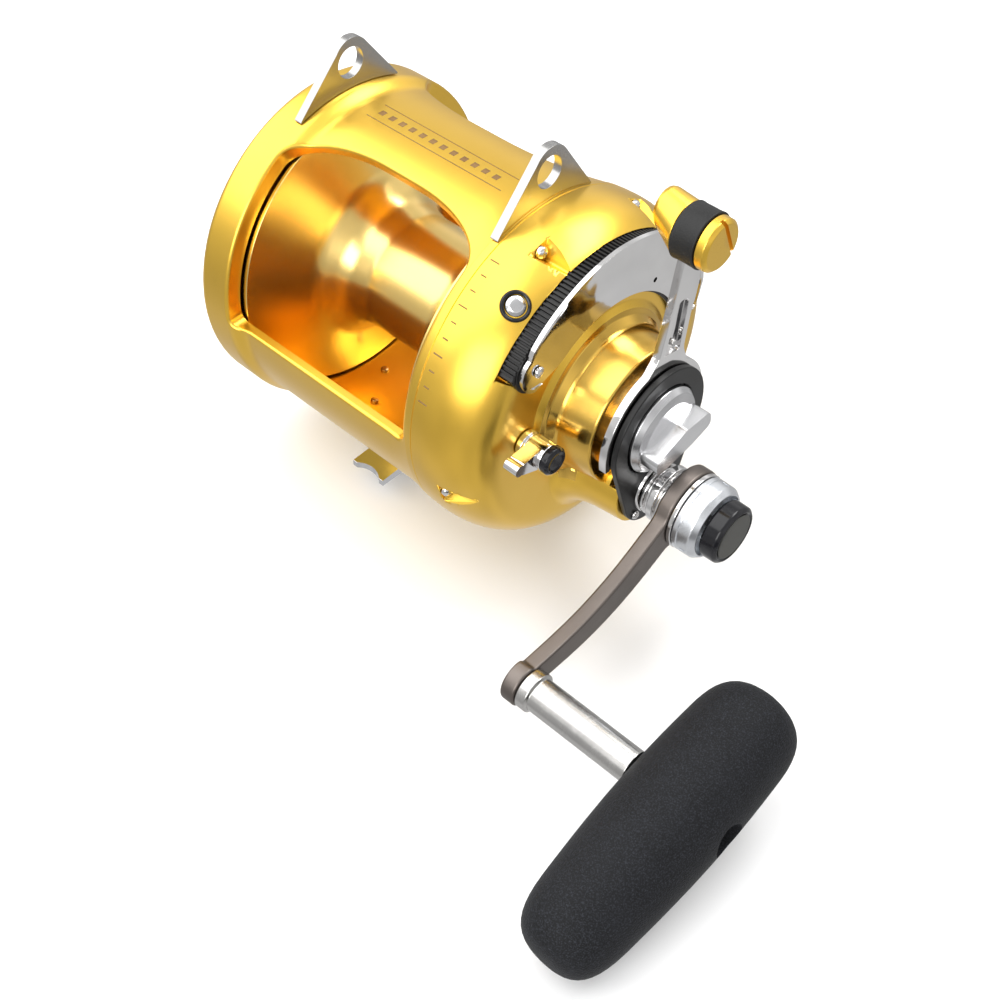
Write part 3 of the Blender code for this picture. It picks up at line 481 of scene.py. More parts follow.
def make_frame():
    steps = 64
    wall = [-FRAME_END_X + 2.0 * FRAME_END_X * k / steps for k in range(steps + 1)]
    profile = [(x, wall_radius(x), 0.4 if k in (0, steps) else 0.0) for k, x in enumerate(wall)]
    profile += [(FRAME_END_X, CAVITY_R, 0.3), (-FRAME_END_X, CAVITY_R, 0.3)]
    frame_piece = turned("frame_shell", profile, steps=FINE)
    combine(frame_piece, window_cutter(REAR_WINDOW))
    combine(frame_piece, window_cutter(FRONT_WINDOW))
    mount(frame_piece, GOLD, "reel_body", ["frame"], 0.35)


def make_cavity_screws():
    """Small fasteners whose tips show on the cavity's inner wall, below the spool."""
    tip = [(-1.2, 0.0), (-1.2, 0.9, 0.3), (-0.9, 1.7, 0.5), (0.6, 1.7), (0.6, 0.0)]
    for number, (x, angle) in enumerate(((-20.8, 252.0), (-34.1, 269.4)), 1):
        screw = turned("cavity_screw_%d" % number, tip, Vector((0.0, 0.0, 0.0)), steps=SMALL, soft=0.1)
        spot = Vector((x, *polar(CAVITY_R, angle, (0.0, SPOOL_AXIS.z))))
        screw.matrix_world = (Matrix.Translation(spot * MM)
                              @ Matrix.Rotation(math.radians(angle), 4, "X")
                              @ Matrix.Rotation(math.radians(90.0), 4, "Z"))
        mount(screw, BRONZE, "reel_body")


def make_left_plate():
    seam, end = -SEAM_X, -PLATE_END_X
    profile = [(seam, RING_R, 0.5), (end + 2.6, RING_R, 3.4), (end, RING_R - 3.4, 2.6), (end, 58.4, 0.6),
               (end + 1.2, 56.6, 0.6), (end + 1.2, 40.0, 0.2), (end + 0.8, 39.2, 0.2), (end + 0.8, 38.0, 0.2),
               (end + 1.2, 37.2, 0.2), (end + 1.2, 24.0, 0.8), (end, 22.2, 0.8), (end, 13.6, 0.4),
               (end + 1.0, 13.2, 0.2), (end + 1.0, 5.3, 0.2), (-47.0, 5.3, 0.2), (-47.0, 13.0), (-57.5, 16.0),
               (-57.5, 57.0, 2.0), (-54.0, CAVITY_R), (seam, CAVITY_R, 0.3)]
    mount(turned("left_cover", profile, steps=FINE), GOLD, "reel_body", ["left_side_plate"])
    cap_end = corners("left_end_cap")[0].x
    cap_profile = [(end - 0.3, 0.0), (end - 0.3, 12.6), (cap_end + 1.0, 12.9, 0.8), (cap_end, 11.6, 0.8),
                   (cap_end, 8.6, 0.2), (cap_end + 0.4, 8.2, 0.2), (cap_end + 0.4, 0.0)]
    cap = turned("left_cap", cap_profile)
    combine(cap, box_cutter(cap_end - 1.0, cap_end + 1.4, (0.0, 0.0), (23.0, 2.0), 0.0))
    mount(cap, SILVER, "reel_body", ["left_end_cap"], 0.15)


def screw_pocket(angle):
    """A V opening outwards over one plate screw; on the dome it is a triangle."""
    rim = RING_R + 3.0
    half = POCKET_SLOPE * (rim - POCKET_TIP_R)
    outline = [(*polar(POCKET_TIP_R, angle), 0.9)]
    outline += [(*polar(side * half, angle + 90.0, polar(rim, angle)), 0.0) for side in (-1.0, 1.0)]
    return prism("pocket", rounded(outline, 0.9, 4), POCKET_SEAT_X, FACE_X + 3.0)


def make_right_plate():
    boss_x = 98.2
    dome = bezier((55.0, 66.5), (65.5, 66.6), (73.5, 63.2), (77.0, 58.4), 20)
    dome += bezier((77.0, 58.4), (78.5, 56.2), (FACE_X, 53.6), (FACE_X, 50.5), 8)[1:]
    outer = [(SEAM_X, RIM_R, 0.4), (50.2, 66.3, 0.1), (50.45, 65.9, 0.1), (50.7, 66.35, 0.1)]
    outer += [(x, r, 0.0) for x, r in dome] + [(FACE_X, 36.0, 1.5), (80.6, 33.4, 1.2), (81.2, 31.6, 1.5),
                                               (84.0, 29.0, 3.0), (boss_x, 27.2, 1.1)]
    bore = [(boss_x, 17.0, 0.5), (91.0, 16.0), (91.0, 11.0), (60.3, 11.0), (60.3, CAVITY_R),
            (SEAM_X, CAVITY_R, 0.3)]
    plate = turned("right_cover", outer + bore, steps=FINE)
    flare = bezier((78.0, 28.0), (79.6, 21.6), (84.0, 19.6), (92.0, 18.3), 8)
    boss = [(76.5, 0.0), (76.5, 28.0, 0.0)] + [(x, r, 0.0) for x, r in flare]
    boss += [(HOUSING_X, 17.2, 0.6), (HOUSING_X, 0.0)]
    drop = (0.0, -CRANK_DROP)
    combine(plate, turned("housing", boss, centre=drop), "UNION")
    combine(plate, turned("step", [(99.9, 0.0), (99.9, 27.4, 0.3), (110.0, 27.4), (110.0, 0.0)], steps=FINE))
    shaft_bore = [(93.0, 0.0), (93.0, 10.6), (110.0, 10.6), (110.0, 0.0)]
    combine(plate, turned("shaft_bore", shaft_bore, centre=drop))
    combine(plate, turned("cam_bore", [(91.0, 0.0), (91.0, 16.0), (110.0, 16.0), (110.0, 0.0)]))
    band = arc(55.7, 37.2, 145.8, 40) + arc(61.0, 145.8, 37.2, 40)
    combine(plate, prism("quadrant_seat", band, 73.7, 90.0))
    for angle in SCREW_ANGLES:
        combine(plate, screw_pocket(angle))
    bored(plate, 1.7, 60.0, 64.0, polar(SCREW_CIRCLE_R, SCREW_ANGLES[0]))
    drain = turned("drain_hole", rod(-12.0, 12.0, 1.0), steps=SMALL, soft=0.0)
    drain.rotation_euler = (math.radians(150.0), 0.0, math.radians(90.0))
    drain.location = Vector((96.5, *polar(18.0, 152.0, (0.0, CRANK_AXIS.z)))) * MM
    combine(plate, drain)
    plate.data.materials.clear()
    mount(plate, GOLD, "reel_body", ["right_side_plate"], 0.22)
    plate.data.materials.append(GOLD_BRIGHT)
    for face in plate.data.polygons:
        y, z = face.center.y / MM, face.center.z / MM
        on_boss = face.center.x / MM > FACE_X + 1.0 and math.hypot(y, z) < 34.0
        if on_boss and math.hypot(y, z + CRANK_DROP) > 19.5:
            face.material_index = 1


def make_marks():
    """Plain engraved marks, drawn as thin dark brown strips: a scale on the right rim and a border on the top
    bar.
    """
    bm = bmesh.new()
    for k in range(10):
        half = 2.0 if k % 3 == 0 else 1.2
        low, high = 116.0 + 5.2 * k - 0.22, 116.0 + 5.2 * k + 0.22
        outline = [polar(65.9, low), polar(65.9, high), polar(66.52, high), polar(66.52, low)]
        add_prism(bm, outline, 54.0 - half, 54.0 + half)
    line = [(-33.0, 33.0)]
    blocks = [(-30.6 + 5.1 * k, -28.2 + 5.1 * k) for k in range(12)]
    for low, high, spans in ((93.6, 93.9, line), (85.6, 85.9, line), (88.6, 90.9, blocks)):
        outline = arc(SHELL_R - 0.6, low, high, 3) + arc(SHELL_R + 0.05, high, low, 3)
        for x0, x1 in spans:
            add_prism(bm, outline, x0, x1)
    mount(new_object("engraved_marks", bm, SPOOL_AXIS), ENGRAVED, "reel_body")


def make_lugs():
    for side, base_r in (("left", RING_R + 0.3), ("right", RIM_R + 0.3)):
        node = side + "_harness_lug"
        low, high = corners(node)
        outline = [(*p, 0.0) for p in arc(base_r, 68.5, 111.5, 12)]
        outline += [(*p, 0.0) for p in arc(8.5, 147.0, 33.0, 16, (2.0, 78.5))]
        outline[0], outline[12] = (*outline[0][:2], 1.0), (*outline[12][:2], 1.0)
        lug = prism(side + "_lug", rounded(outline, 0.0), low.x, high.x)
        bored(lug, 6.0, low.x - 2.0, high.x + 2.0, (1.2, 77.6))
        mount(lug, LUG_METAL, "reel_body", [node], 1.1)


def make_foot():
    seat = -SPOOL_AXIS.z
    saddle_r = SHELL_R + 0.5
    top = [(y, -math.sqrt(saddle_r ** 2 - y ** 2), 0.0) for y in range(-22, 23, 2)]
    saddle = [(-24.0, seat, 0.6), (-24.0, -62.5, 1.5)] + top + [(24.0, -62.5, 1.5), (24.0, seat, 0.6)]
    foot = prism("foot", rounded(saddle, 0.0), -21.0, 21.0)
    half = [(18.0, seat + 1.0, 0.0), (21.0, seat + 5.0, 0.5), (30.0, seat + 3.6, 8.0), (43.0, seat + 2.8),
            (43.0, seat)]
    tongues = [(-p[0], *p[1:]) for p in half[::-1]] + half
    combine(foot, prism("tongues", rounded(tongues, 0.3), -8.5, 8.5), "UNION")
    for end in (-1.0, 1.0):
        hollow = turned("tip_hollow", rod(-12.0, 12.0, 9.5), steps=SMALL, soft=0.0)
        hollow.rotation_euler = (0.0, math.radians(90.0), 0.0)
        hollow.location = Vector((0.0, end * 50.0, 0.0)) * MM
        combine(foot, hollow)
    for number in range(1, 5):
        screw = corners("foot_screw_%d" % number)
        spot = (screw[0] + screw[1]) / 2.0
        for radius, x0, x1 in ((4.0, -90.0, seat + 2.9), (2.2, -90.0, -55.0)):
            hole = turned("foot_hole", rod(x0, x1, radius), steps=SMALL, soft=0.0)
            hole.rotation_euler = (0.0, math.radians(-90.0), 0.0)
            hole.location = Vector((spot.x, spot.y, SPOOL_AXIS.z)) * MM
            combine(foot, hole)
        base, tip = screw[0].z, screw[1].z
        head = [(base, 0.0), (base, 3.4, 0.5), (base + 2.1, 3.4, 0.2), (base + 2.1, 1.9),
                (tip, 1.9), (tip, 0.0)]
        piece = turned("foot_bolt_%d" % number, head, Vector((0.0, 0.0, 0.0)), steps=SMALL)
        combine(piece, hex_socket(base - 1.0, base + 1.3, 1.6))
        piece.data.transform(Matrix.Rotation(math.radians(-90.0), 4, "Y"))
        piece.location = Vector((spot.x, spot.y, 0.0)) * MM
        mount(piece, STEEL, "reel_body", ["foot_screw_%d" % number], 0.12)
    mount(foot, CHROME_SATIN, "reel_body", ["reel_foot"], 0.4)


def hex_socket(x0, x1, size, axis=None):
    return prism("socket", arc(size, 30.0, 330.0, 5), x0, x1, axis or Vector((0.0, 0.0, 0.0)))


def make_plate_screws():
    for number, angle in enumerate(SCREW_ANGLES, 1):
        spot = polar(SCREW_CIRCLE_R, angle)
        axis = SPOOL_AXIS + Vector((0.0, *spot))
        low, high = corners("plate_screw_%d" % number)
        head = [(low.x, 0.0), (low.x, 1.3), (POCKET_SEAT_X + 0.3, 1.3), (POCKET_SEAT_X + 0.3, 2.3, 0.2),
                (high.x - 0.9, 2.3, 0.9), (high.x, 1.2, 1.2), (high.x, 0.0)]
        screw = turned("cover_screw_%d" % number, head, axis, steps=SMALL, soft=0.1)
        combine(screw, hex_socket(high.x - 1.1, high.x + 1.0, 1.05, axis))
        mount(screw, CHROME, "reel_body", ["plate_screw_%d" % number], 0.1)


# ---------------------------------------------------------------- drag quadrant and lever

def crescent(outer_grow, inner_r, end_r):
    """The quadrant plate's outline: a round rear end, and wider towards the front."""
    edge = ((62.2, 40.0), (63.3, 55.0), (63.5, 75.0), (63.4, 90.0), (62.6, 103.0), (61.7, 116.0),
            (61.0, 127.0), (60.3, 133.0))
    outline = []
    for (r0, a0), (r1, a1) in zip(edge, edge[1:]):
        for k in range(8):
            t = k / 8
            outline.append((*polar(r0 + (r1 - r0) * t + outer_grow, a0 + (a1 - a0) * t), 0.0))
    outline += [(*p, 0.0) for p in arc(end_r, 122.0, 258.0, 24, PLATE_SCREW)]
    outline += [(*polar(inner_r + 1.0, 133.0), 6.0)]
    outline += [(*polar(inner_r, a), 0.0) for a in range(127, 11, -2)]
    return rounded(outline + [(*polar(50.0, 12.0), 6.0), (*polar(57.0 + outer_grow, 24.0), 9.0)], 0.0, 6)


def make_quadrant():
    low, high = corners("quadrant_rack")
    front, rear, notches = 39.2, 143.0, 64
    step = (rear - front) / notches
    teeth = []
    for k in range(notches):
        a = front + step * k
        teeth += [polar(60.7, a + 0.12 * step), polar(60.7, a + 0.52 * step),
                  polar(60.0, a + 0.64 * step), polar(60.0, a + 1.0 * step)]
    tail = [polar(60.2, 143.6), polar(57.8, 144.8), polar(56.3, 144.0)]
    rack = prism("rack", teeth + tail + arc(56.0, 142.6, front, 40), low.x, 80.1)
    combine(rack, prism("rack_flange", crescent(-1.9, 39.6, 9.0), FACE_X + 0.3, high.x), "UNION")
    bored(rack, 1.4, 78.0, 84.0, PLATE_SCREW)
    mount(rack, BLACK, "reel_body", ["quadrant_rack"], 0.12)
    low, high = corners("quadrant_plate")
    plate = prism("crescent", crescent(0.0, 40.6, 8.0), low.x, high.x)
    combine(plate, prism("field", crescent(-1.4, 37.0, 6.6), high.x - 0.45, high.x + 2.0))
    bored(plate, 1.4, 78.0, 84.0, PLATE_SCREW)
    bored(plate, 1.0, 78.0, 84.0, polar(44.8, 60.0), SMALL)
    mount(plate, CHROME, "reel_body", ["quadrant_plate"], 0.5)
    end_x = corners("quadrant_screw")[1].x
    axis = SPOOL_AXIS + Vector((0.0, *PLATE_SCREW))
    head = [(79.8, 0.0), (79.8, 1.1), (82.4, 1.1), (82.4, 2.2, 0.2), (end_x - 0.3, 1.9, 0.6), (end_x, 0.7),
            (end_x, 0.0)]
    screw = turned("quadrant_bolt", head, axis, steps=SMALL, soft=0.1)
    combine(screw, box_cutter(end_x - 0.5, end_x + 1.0, (0.0, 0.0), (5.0, 0.6), 40.0, axis))
    mount(screw, CHROME, "reel_body", ["quadrant_screw"], 0.08)


def make_lever():
    a, hub_r = KNOB_ANGLE, 26.4
    knob = polar(KNOB_REACH, a)
    outline = [(*p, 0.0) for p in arc(21.7, a + 113.0, a + 247.0, 30)]
    outline += [(*p, 0.0) for p in arc(hub_r, a + 248.0, a + 336.0, 30)]
    outline += [(*polar(31.0, a - 12.6), 9.0), (*polar(52.0, a - 6.2), 30.0)]
    outline += [(*p, 0.0) for p in arc(8.3, a - 138.0, a + 138.0, 30, knob)]
    outline += [(*polar(52.0, a + 6.2), 30.0), (*polar(31.0, a + 12.6), 9.0)]
    outline += [(*p, 0.0) for p in arc(hub_r, a + 24.0, a + 112.0, 30)]
    lever = prism("lever_arm", rounded(outline, 0.0, 6), LEVER_FACE_X - 3.1, LEVER_FACE_X)
    cam = [(LEVER_LOW.x, 0.0), (LEVER_LOW.x, 15.6, 0.3), (LEVER_FACE_X - 1.0, 15.6),
           (LEVER_FACE_X - 1.0, 0.0)]
    combine(lever, turned("cam", cam), "UNION")
    bored(lever, 5.4, 90.0, 110.0)
    bored(lever, 6.3, 100.0, 106.0, knob)
    slot = [(*polar(4.0, a + 90.0, polar(30.5, a)), 1.0), (*polar(4.0, a - 90.0, polar(30.5, a)), 1.0),
            (*polar(2.6, a - 90.0, polar(52.0, a)), 2.2), (*polar(2.6, a + 90.0, polar(52.0, a)), 2.2)]
    combine(lever, prism("lever_slot", rounded(slot, 0.0, 6), LEVER_FACE_X - 1.7, LEVER_FACE_X + 2.0))
    mount(lever, CHROME, "lever_group", ["drag_lever"], 0.8)
    stop = turned("lever_stop", rod(LEVER_FACE_X - 1.5, LEVER_FACE_X + 0.2, 1.3),
                  SPOOL_AXIS + Vector((0.0, *polar(34.5, a))), steps=SMALL, soft=0.4)
    mount(stop, STEEL, "lever_group")
    low, high = corners("lever_knob")
    barrel_x, lean_per_mm = 99.2, 0.42
    barrel = [(low.x, 0.0), (low.x, 5.4), (low.x + 0.3, 6.4, 0.8), (low.x + 1.6, 7.3, 1.6),
              (barrel_x, 9.6, 0.3), (barrel_x, 6.0), (104.9, 6.0), (104.9, 8.3), (109.2, 8.3),
              (109.2, 9.5, 0.3), (high.x - 1.2, 9.4, 0.7), (high.x, 8.1, 0.8), (high.x, 0.0)]
    end = turned("knob", barrel, KNOB_AXIS, steps=FINE, soft=0.3)
    for vertex in end.data.vertices:
        lean = lean_per_mm * max(0.0, barrel_x * MM - vertex.co.x)
        vertex.co += Vector((0.0, *polar(lean, a)))
    combine(end, box_cutter(high.x - 1.9, high.x + 2.0, (3.9, 0.0), (1.5, 24.0), 24.0, KNOB_AXIS))
    mount(end, GOLD, "lever_group", ["lever_knob"], 0.2)
    band = turned("knob_band", [(99.5, 8.6), (99.5, 10.2, 0.5), (101.0, 10.0, 3.0), (107.4, 10.0, 3.0),
                                (108.9, 10.2, 0.5), (108.9, 8.6)], KNOB_AXIS, steps=FINE)
    notch = box_cutter(LEVER_FACE_X - 3.5, LEVER_FACE_X + 1.4, polar(-9.0, a), (10.0, 13.0), a, KNOB_AXIS)
    combine(band, notch)
    mount(band, RUBBER, "lever_group", ["lever_knob_band"])


def pear(upper_r, lower_r):
    """One closed curve round the spool axis above and the crank axis below."""
    lean = math.degrees(math.acos((upper_r - lower_r) / CRANK_DROP))
    outline = arc(upper_r, -90.0 + lean, 270.0 - lean, 56)
    outline += arc(lower_r, 270.0 - lean, 270.0 + lean, 36, (0.0, -CRANK_DROP))
    return outline


def make_end_cover():
    low, high = corners("end_cover")
    cover = prism("end_ring", pear(24.2, 15.4), low.x, high.x)
    bored(cover, 17.8, low.x - 2.0, high.x + 2.0, (0.0, 0.0), FINE)
    bored(cover, 8.5, low.x - 2.0, high.x + 2.0, (0.0, -CRANK_DROP), ROUND)
    mount(cover, BLACK, "reel_body", ["end_cover"], 0.45)
    cap = [(high.x + 0.1, 8.6, 0.1), (high.x + 0.1, 10.9, 0.2), (high.x + 1.3, 10.6, 0.5),
           (high.x + 1.6, 8.6, 0.3)]
    mount(turned("bearing_cap", cap, CRANK_AXIS), CHROME, "reel_body")
    for number in (1, 2):
        node = "end_cover_screw_%d" % number
        screw_low, screw_high = corners(node)
        axis = axis_of(node)
        head = [(screw_low.x, 0.0), (screw_low.x, 0.8), (high.x + 0.3, 0.8), (high.x + 0.3, 1.85, 0.2),
                (screw_high.x, 1.4, 0.5), (screw_high.x, 0.0)]
        screw = turned("ring_screw_%d" % number, head, axis, steps=SMALL, soft=0.1)
        combine(screw, box_cutter(screw_high.x - 0.6, screw_high.x + 1.0, (0.0, 0.0), (5.0, 0.5), 30.0, axis))
        mount(screw, CHROME, "reel_body", [node])


def make_preset_knob():
    low, high = corners("preset_knob")
    disc = [(low.x, 0.0), (low.x, 17.2, 0.3), (108.2, 17.2, 0.5), (110.2, 15.6, 0.8), (111.0, 12.4, 0.6),
            (111.0, 0.0)]
    knob = turned("preset_disc", disc, steps=FINE)
    combine(knob, turned("disc_hollow", [(low.x - 1.0, 0.0), (low.x - 1.0, 4.5), (109.6, 4.5), (109.6, 0.0)]))
    wing = [(15.0, 13.5, 3.2), (15.0, -13.5, 3.2), (6.0, -48.0, 7.0),
            (15.4, -166.5, 3.2), (15.4, 166.5, 3.2), (6.0, 72.0, 7.0)]
    wing = [(*polar(radius, 12.0 + turn), size) for radius, turn, size in wing]
    blade = prism("wing", rounded(wing, 0.0, 7), 110.0, high.x)
    tilt = box_cutter(115.4, 130.0, polar(-11.0, 12.0), (14.0, 30.0), 12.0)
    tilt.rotation_euler = (0.0, 0.0, math.radians(-14.0))
    combine(blade, tilt)
    combine(knob, blade, "UNION")
    mount(knob, CHROME_SATIN, "preset_group", ["preset_knob"], 0.9)
    pin = turned("preset_pin", [(110.4, 0.0), (110.4, 1.6), (112.6, 1.6, 0.5), (112.6, 0.0)],
                 SPOOL_AXIS + Vector((0.0, *polar(10.6, 242.0))), steps=SMALL)
    mount(pin, CHROME, "preset_group")


def make_strike_button():
    """The release button: a black ring and a domed bright button, on the dome's own slope."""
    tilt, angle, x, radius = 55.0, 123.5, 69.0, 64.0
    place = (Matrix.Translation(Vector((x, *polar(radius, angle, (0.0, SPOOL_AXIS.z)))) * MM)
             @ Matrix.Rotation(math.radians(angle), 4, "X") @ Matrix.Rotation(math.radians(tilt), 4, "Z"))
    ring_profile = [(-4.6, 5.2), (0.9, 5.3, 0.3), (1.7, 4.8, 0.5), (1.2, 3.9, 0.3), (-4.6, 3.9)]
    bezel = turned("button_ring", ring_profile, Vector((0.0, 0.0, 0.0)))
    dome = [(-3.6, 0.0), (-3.6, 3.5), (1.6, 3.5, 0.6), (2.5, 2.2, 1.4), (2.6, 0.9, 0.5), (2.6, 0.0)]
    button = turned("button", dome, Vector((0.0, 0.0, 0.0)))
    for piece, look, body, node in ((bezel, BLACK_GLOSS, "reel_body", "strike_bezel"),
                                    (button, CHROME_SATIN, "strike_group", "strike_button")):
        piece.matrix_world = place
        mount(piece, look, body, [node])


# ---------------------------------------------------------------- spool and clicker

def make_spool():
    end, rim = SPOOL_END_X, SPOOL_R
    outer = [(16.0, 24.5, 14.0), (26.0, 26.5, 14.0), (34.0, 34.0, 14.0), (38.6, 48.0, 10.0),
             (41.0, 57.0, 2.0), (41.4, rim, 0.5), (end, rim, 0.6)]
    left = [(-45.4, rim, 0.5), (-43.2, rim, 0.5), (-42.6, 57.0, 2.0), (-40.0, 48.0, 10.0)]
    left += [(-p[0], *p[1:]) for p in outer[2::-1]]
    right_side = [(end, 22.0), (41.4, 18.0), (41.4, 11.3), (34.0, 11.3), (34.0, 7.5)]
    left_side = [(-34.0, 7.5), (-34.0, 11.3), (-41.4, 11.3), (-43.0, 22.0), (-43.8, 57.0)]
    spool = turned("line_spool", left + outer + right_side + left_side, steps=FINE)
    tie = turned("tie_hole", rod(36.0, 40.8, 1.3), centre=polar(52.5, 196.0), steps=SMALL, soft=0.0)
    combine(spool, tie)
    mount(spool, DEEP_GOLD, "spool_group", ["spool"], 0.15, 40.0)


def link(near_r, far, far_r, half_near, half_far, bow, fillet):
    """A lever or crank: two round ends and a tapering bar that bows sideways between them."""
    length, angle = math.hypot(*far), math.degrees(math.atan2(far[1], far[0]))
    turn = math.degrees(math.asin(half_near / near_r))
    first, last = near_r * math.cos(math.radians(turn)), length - far_r * 0.6

    def bar(side, steps=10):
        points = []
        for k in range(steps + 1):
            t = k / steps
            half = half_near + (half_far - half_near) * t
            sway = side * half + bow * math.sin(math.pi * t)
            spot = polar(first + (last - first) * t, angle)
            points.append((*polar(sway, angle + 90.0, spot), 0.0 if 0 < k < steps else 2.0))
        points[0] = (*points[0][:2], fillet)
        return points

    outline = [(*p, 0.0) for p in arc(near_r, angle + turn * 1.7, angle + 360.0 - turn * 1.7, 40)]
    outline += bar(-1.0)
    outline += [(*p, 0.0) for p in arc(far_r, angle - 118.0, angle + 118.0, 24, far)]
    outline += bar(1.0)[::-1]
    return rounded(outline, 0.0, 6)


def make_clicker():
    post_x = FACE_X + 0.3
    outline = link(5.4, polar(13.0, 172.0), 2.3, 4.3, 2.4, 0.0, 3.0)
    tongue = prism("click_tongue", outline, 83.2, 89.0, CLICK_AXIS)
    post = [(post_x, 0.0), (post_x, 5.3, 0.4), (81.4, 5.3, 0.6), (82.2, 4.6, 0.5), (83.2, 5.3, 0.5),
            (90.5, 5.3, 0.4), (90.5, 0.0)]
    combine(tongue, turned("post", post, CLICK_AXIS, steps=FINE), "UNION")
    bored(tongue, 1.9, 70.0, 88.0)
    mount(tongue, CHROME, "clicker_group", ["clicker_lever"], 0.7)
    cap = [(90.8, 0.0), (90.8, 5.4, 0.3), (92.8, 5.4, 0.6), (93.8, 4.5, 0.6), (93.5, 3.0, 0.8), (93.5, 0.0)]
    mount(turned("click_cap", cap, CLICK_AXIS, steps=FINE), BLACK_GLOSS, "clicker_group", ["clicker_cap"])


# ---------------------------------------------------------------- crank, shift button and grip

def make_crank():
    far = (GRIP_AXIS.y - CRANK_AXIS.y, GRIP_AXIS.z - CRANK_AXIS.z)
    arm = prism("arm", link(15.4, far, 8.2, 7.2, 5.2, 5.6, 9.0), ARM_LOW.x, ARM_HIGH.x, CRANK_AXIS)
    bored(arm, 5.3, 115.0, 130.0)
    bored(arm, 4.3, 115.0, 130.0, far)
    mount(arm, ARM_GREY, "crank_group", ["crank_arm"], 1.5)
    collar = [(109.3, 8.1), (109.3, 10.4, 0.3), (110.6, 10.4, 0.5), (111.0, 9.0, 0.3), (112.4, 9.0, 0.3),
              (112.9, 11.4, 0.4), (115.6, 11.4, 0.6), (116.2, 9.6, 0.5), (117.0, 9.6, 0.4),
              (117.4, 12.6, 0.4), (118.7, 12.6, 0.3), (118.7, 8.1)]
    mount(turned("shaft_nut", collar, CRANK_AXIS, steps=FINE), CHROME, "crank_group")
    washer = turned("handle_washer", ring(125.3, 127.0, 5.4, 15.0), CRANK_AXIS, steps=FINE, soft=0.35)
    mount(washer, CHROME, "crank_group", ["arm_washer"])
    sleeve = [(127.3, 5.4), (127.3, 14.7, 0.5), (129.3, 14.7, 0.2), (129.6, 14.3, 0.1), (129.9, 14.7, 0.2),
              (134.4, 14.6, 1.2), (136.6, 13.0, 0.6), (136.6, 12.3, 0.2), (129.9, 12.3), (129.9, 5.4)]
    handle = turned("handle_sleeve", sleeve, CRANK_AXIS, steps=FINE, soft=0.2)
    for angle in (200.0, 238.0, 20.0, 58.0):
        combine(handle, box_cutter(131.0, 133.4, polar(14.8, angle), (1.8, 1.2), angle, CRANK_AXIS))
    mount(handle, SILVER, "crank_group", ["handle_collar"], 0.12, 50.0)
    make_shift_button()
    stub = [(119.4, 0.0), (119.4, 4.0), (125.3, 4.0), (125.3, 7.6, 0.5), (129.4, 7.6, 0.5), (129.8, 6.4, 0.3),
            (171.6, 6.3, 0.4),
            (172.0, 4.0), (204.0, 4.0), (204.0, 0.0)]
    handle_stub = turned("handle_stub", stub, GRIP_AXIS, steps=FINE, soft=0.1)
    mount(handle_stub, STEEL, "crank_group", ["grip_spindle"])


def make_shift_button():
    low, high = corners("shift_button")
    cap = [(low.x, 0.0), (low.x, 11.0, 0.4), (low.x + 1.0, 11.6, 0.5), (high.x - 1.4, 11.5, 1.2),
           (high.x - 0.1, 10.2, 0.5), (high.x - 0.7, 9.3, 0.2), (high.x - 0.7, 0.0)]
    mount(turned("shift_cap", cap, CRANK_AXIS, steps=FINE), BLACK_GLOSS, "shift_group", ["shift_button"])
    face = [(high.x - 0.6, 0.0), (high.x - 0.6, 9.1, 0.2), (high.x - 0.1, 8.8, 0.3), (high.x, 6.0, 3.0),
            (high.x, 0.0)]
    mount(turned("shift_face", face, CRANK_AXIS, steps=FINE), CAP_GREY, "shift_group")


def make_grip():
    """A foam grip, fullest in the middle, with blunt ends and one of them narrower."""
    low, high = corners("grip")
    middle, radius = (low.x + high.x) / 2.0, (high.x - low.x) / 2.0
    start, end, lean = -66.2, 46.0, 11.0
    blunt = bezier((start, 0.0), (start - 0.2, radius * 0.52), (start + 2.6, radius * 0.79),
                   (start + 19.0, radius * 0.865), 12)
    body = bezier((start + 19.0, radius * 0.865), (start + 46.0, radius * 0.975), (end - 48.0, radius * 1.02),
                  (end - 17.0, radius * 0.93), 16)
    nose = bezier((end - 17.0, radius * 0.93), (end - 4.0, radius * 0.88), (end + 0.2, radius * 0.64),
                  (end, 0.0), 12)
    bm = bmesh.new()
    add_turned(bm, blunt + body[1:] + nose[1:], (0.0, 0.0), FINE)
    stand = Matrix.Rotation(math.radians(lean), 4, "X") @ Matrix.Rotation(math.radians(90.0), 4, "Z")
    bmesh.ops.transform(bm, matrix=Matrix.Translation((middle * MM, 0.0, 0.0)) @ stand, verts=bm.verts)
    grip = new_object("grip_foam_body", bm, GRIP_AXIS)
    bore = [(middle - 26.0, 0.0), (middle - 26.0, 7.0), (172.4, 7.0), (172.4, 4.4), (203.0, 4.4),
            (203.0, 6.4), (middle + 24.0, 6.4), (middle + 24.0, 0.0)]
    combine(grip, turned("grip_bore", bore, GRIP_AXIS, soft=0.0))
    mount(grip, FOAM, "grip_group", ["grip"], 0.5, 45.0)
    head = [(204.4, 0.0), (204.4, 5.2, 0.3), (206.4, 5.2, 0.5), (207.2, 4.2, 0.4), (207.2, 0.0)]
    screw = turned("grip_bolt", head, GRIP_AXIS, steps=FINE, soft=0.1)
    combine(screw, hex_socket(205.4, 209.0, 2.2, GRIP_AXIS))
    mount(screw, STEEL, "grip_group", ["grip_screw"], 0.1)


# ---------------------------------------------------------------- the inner works, carried over

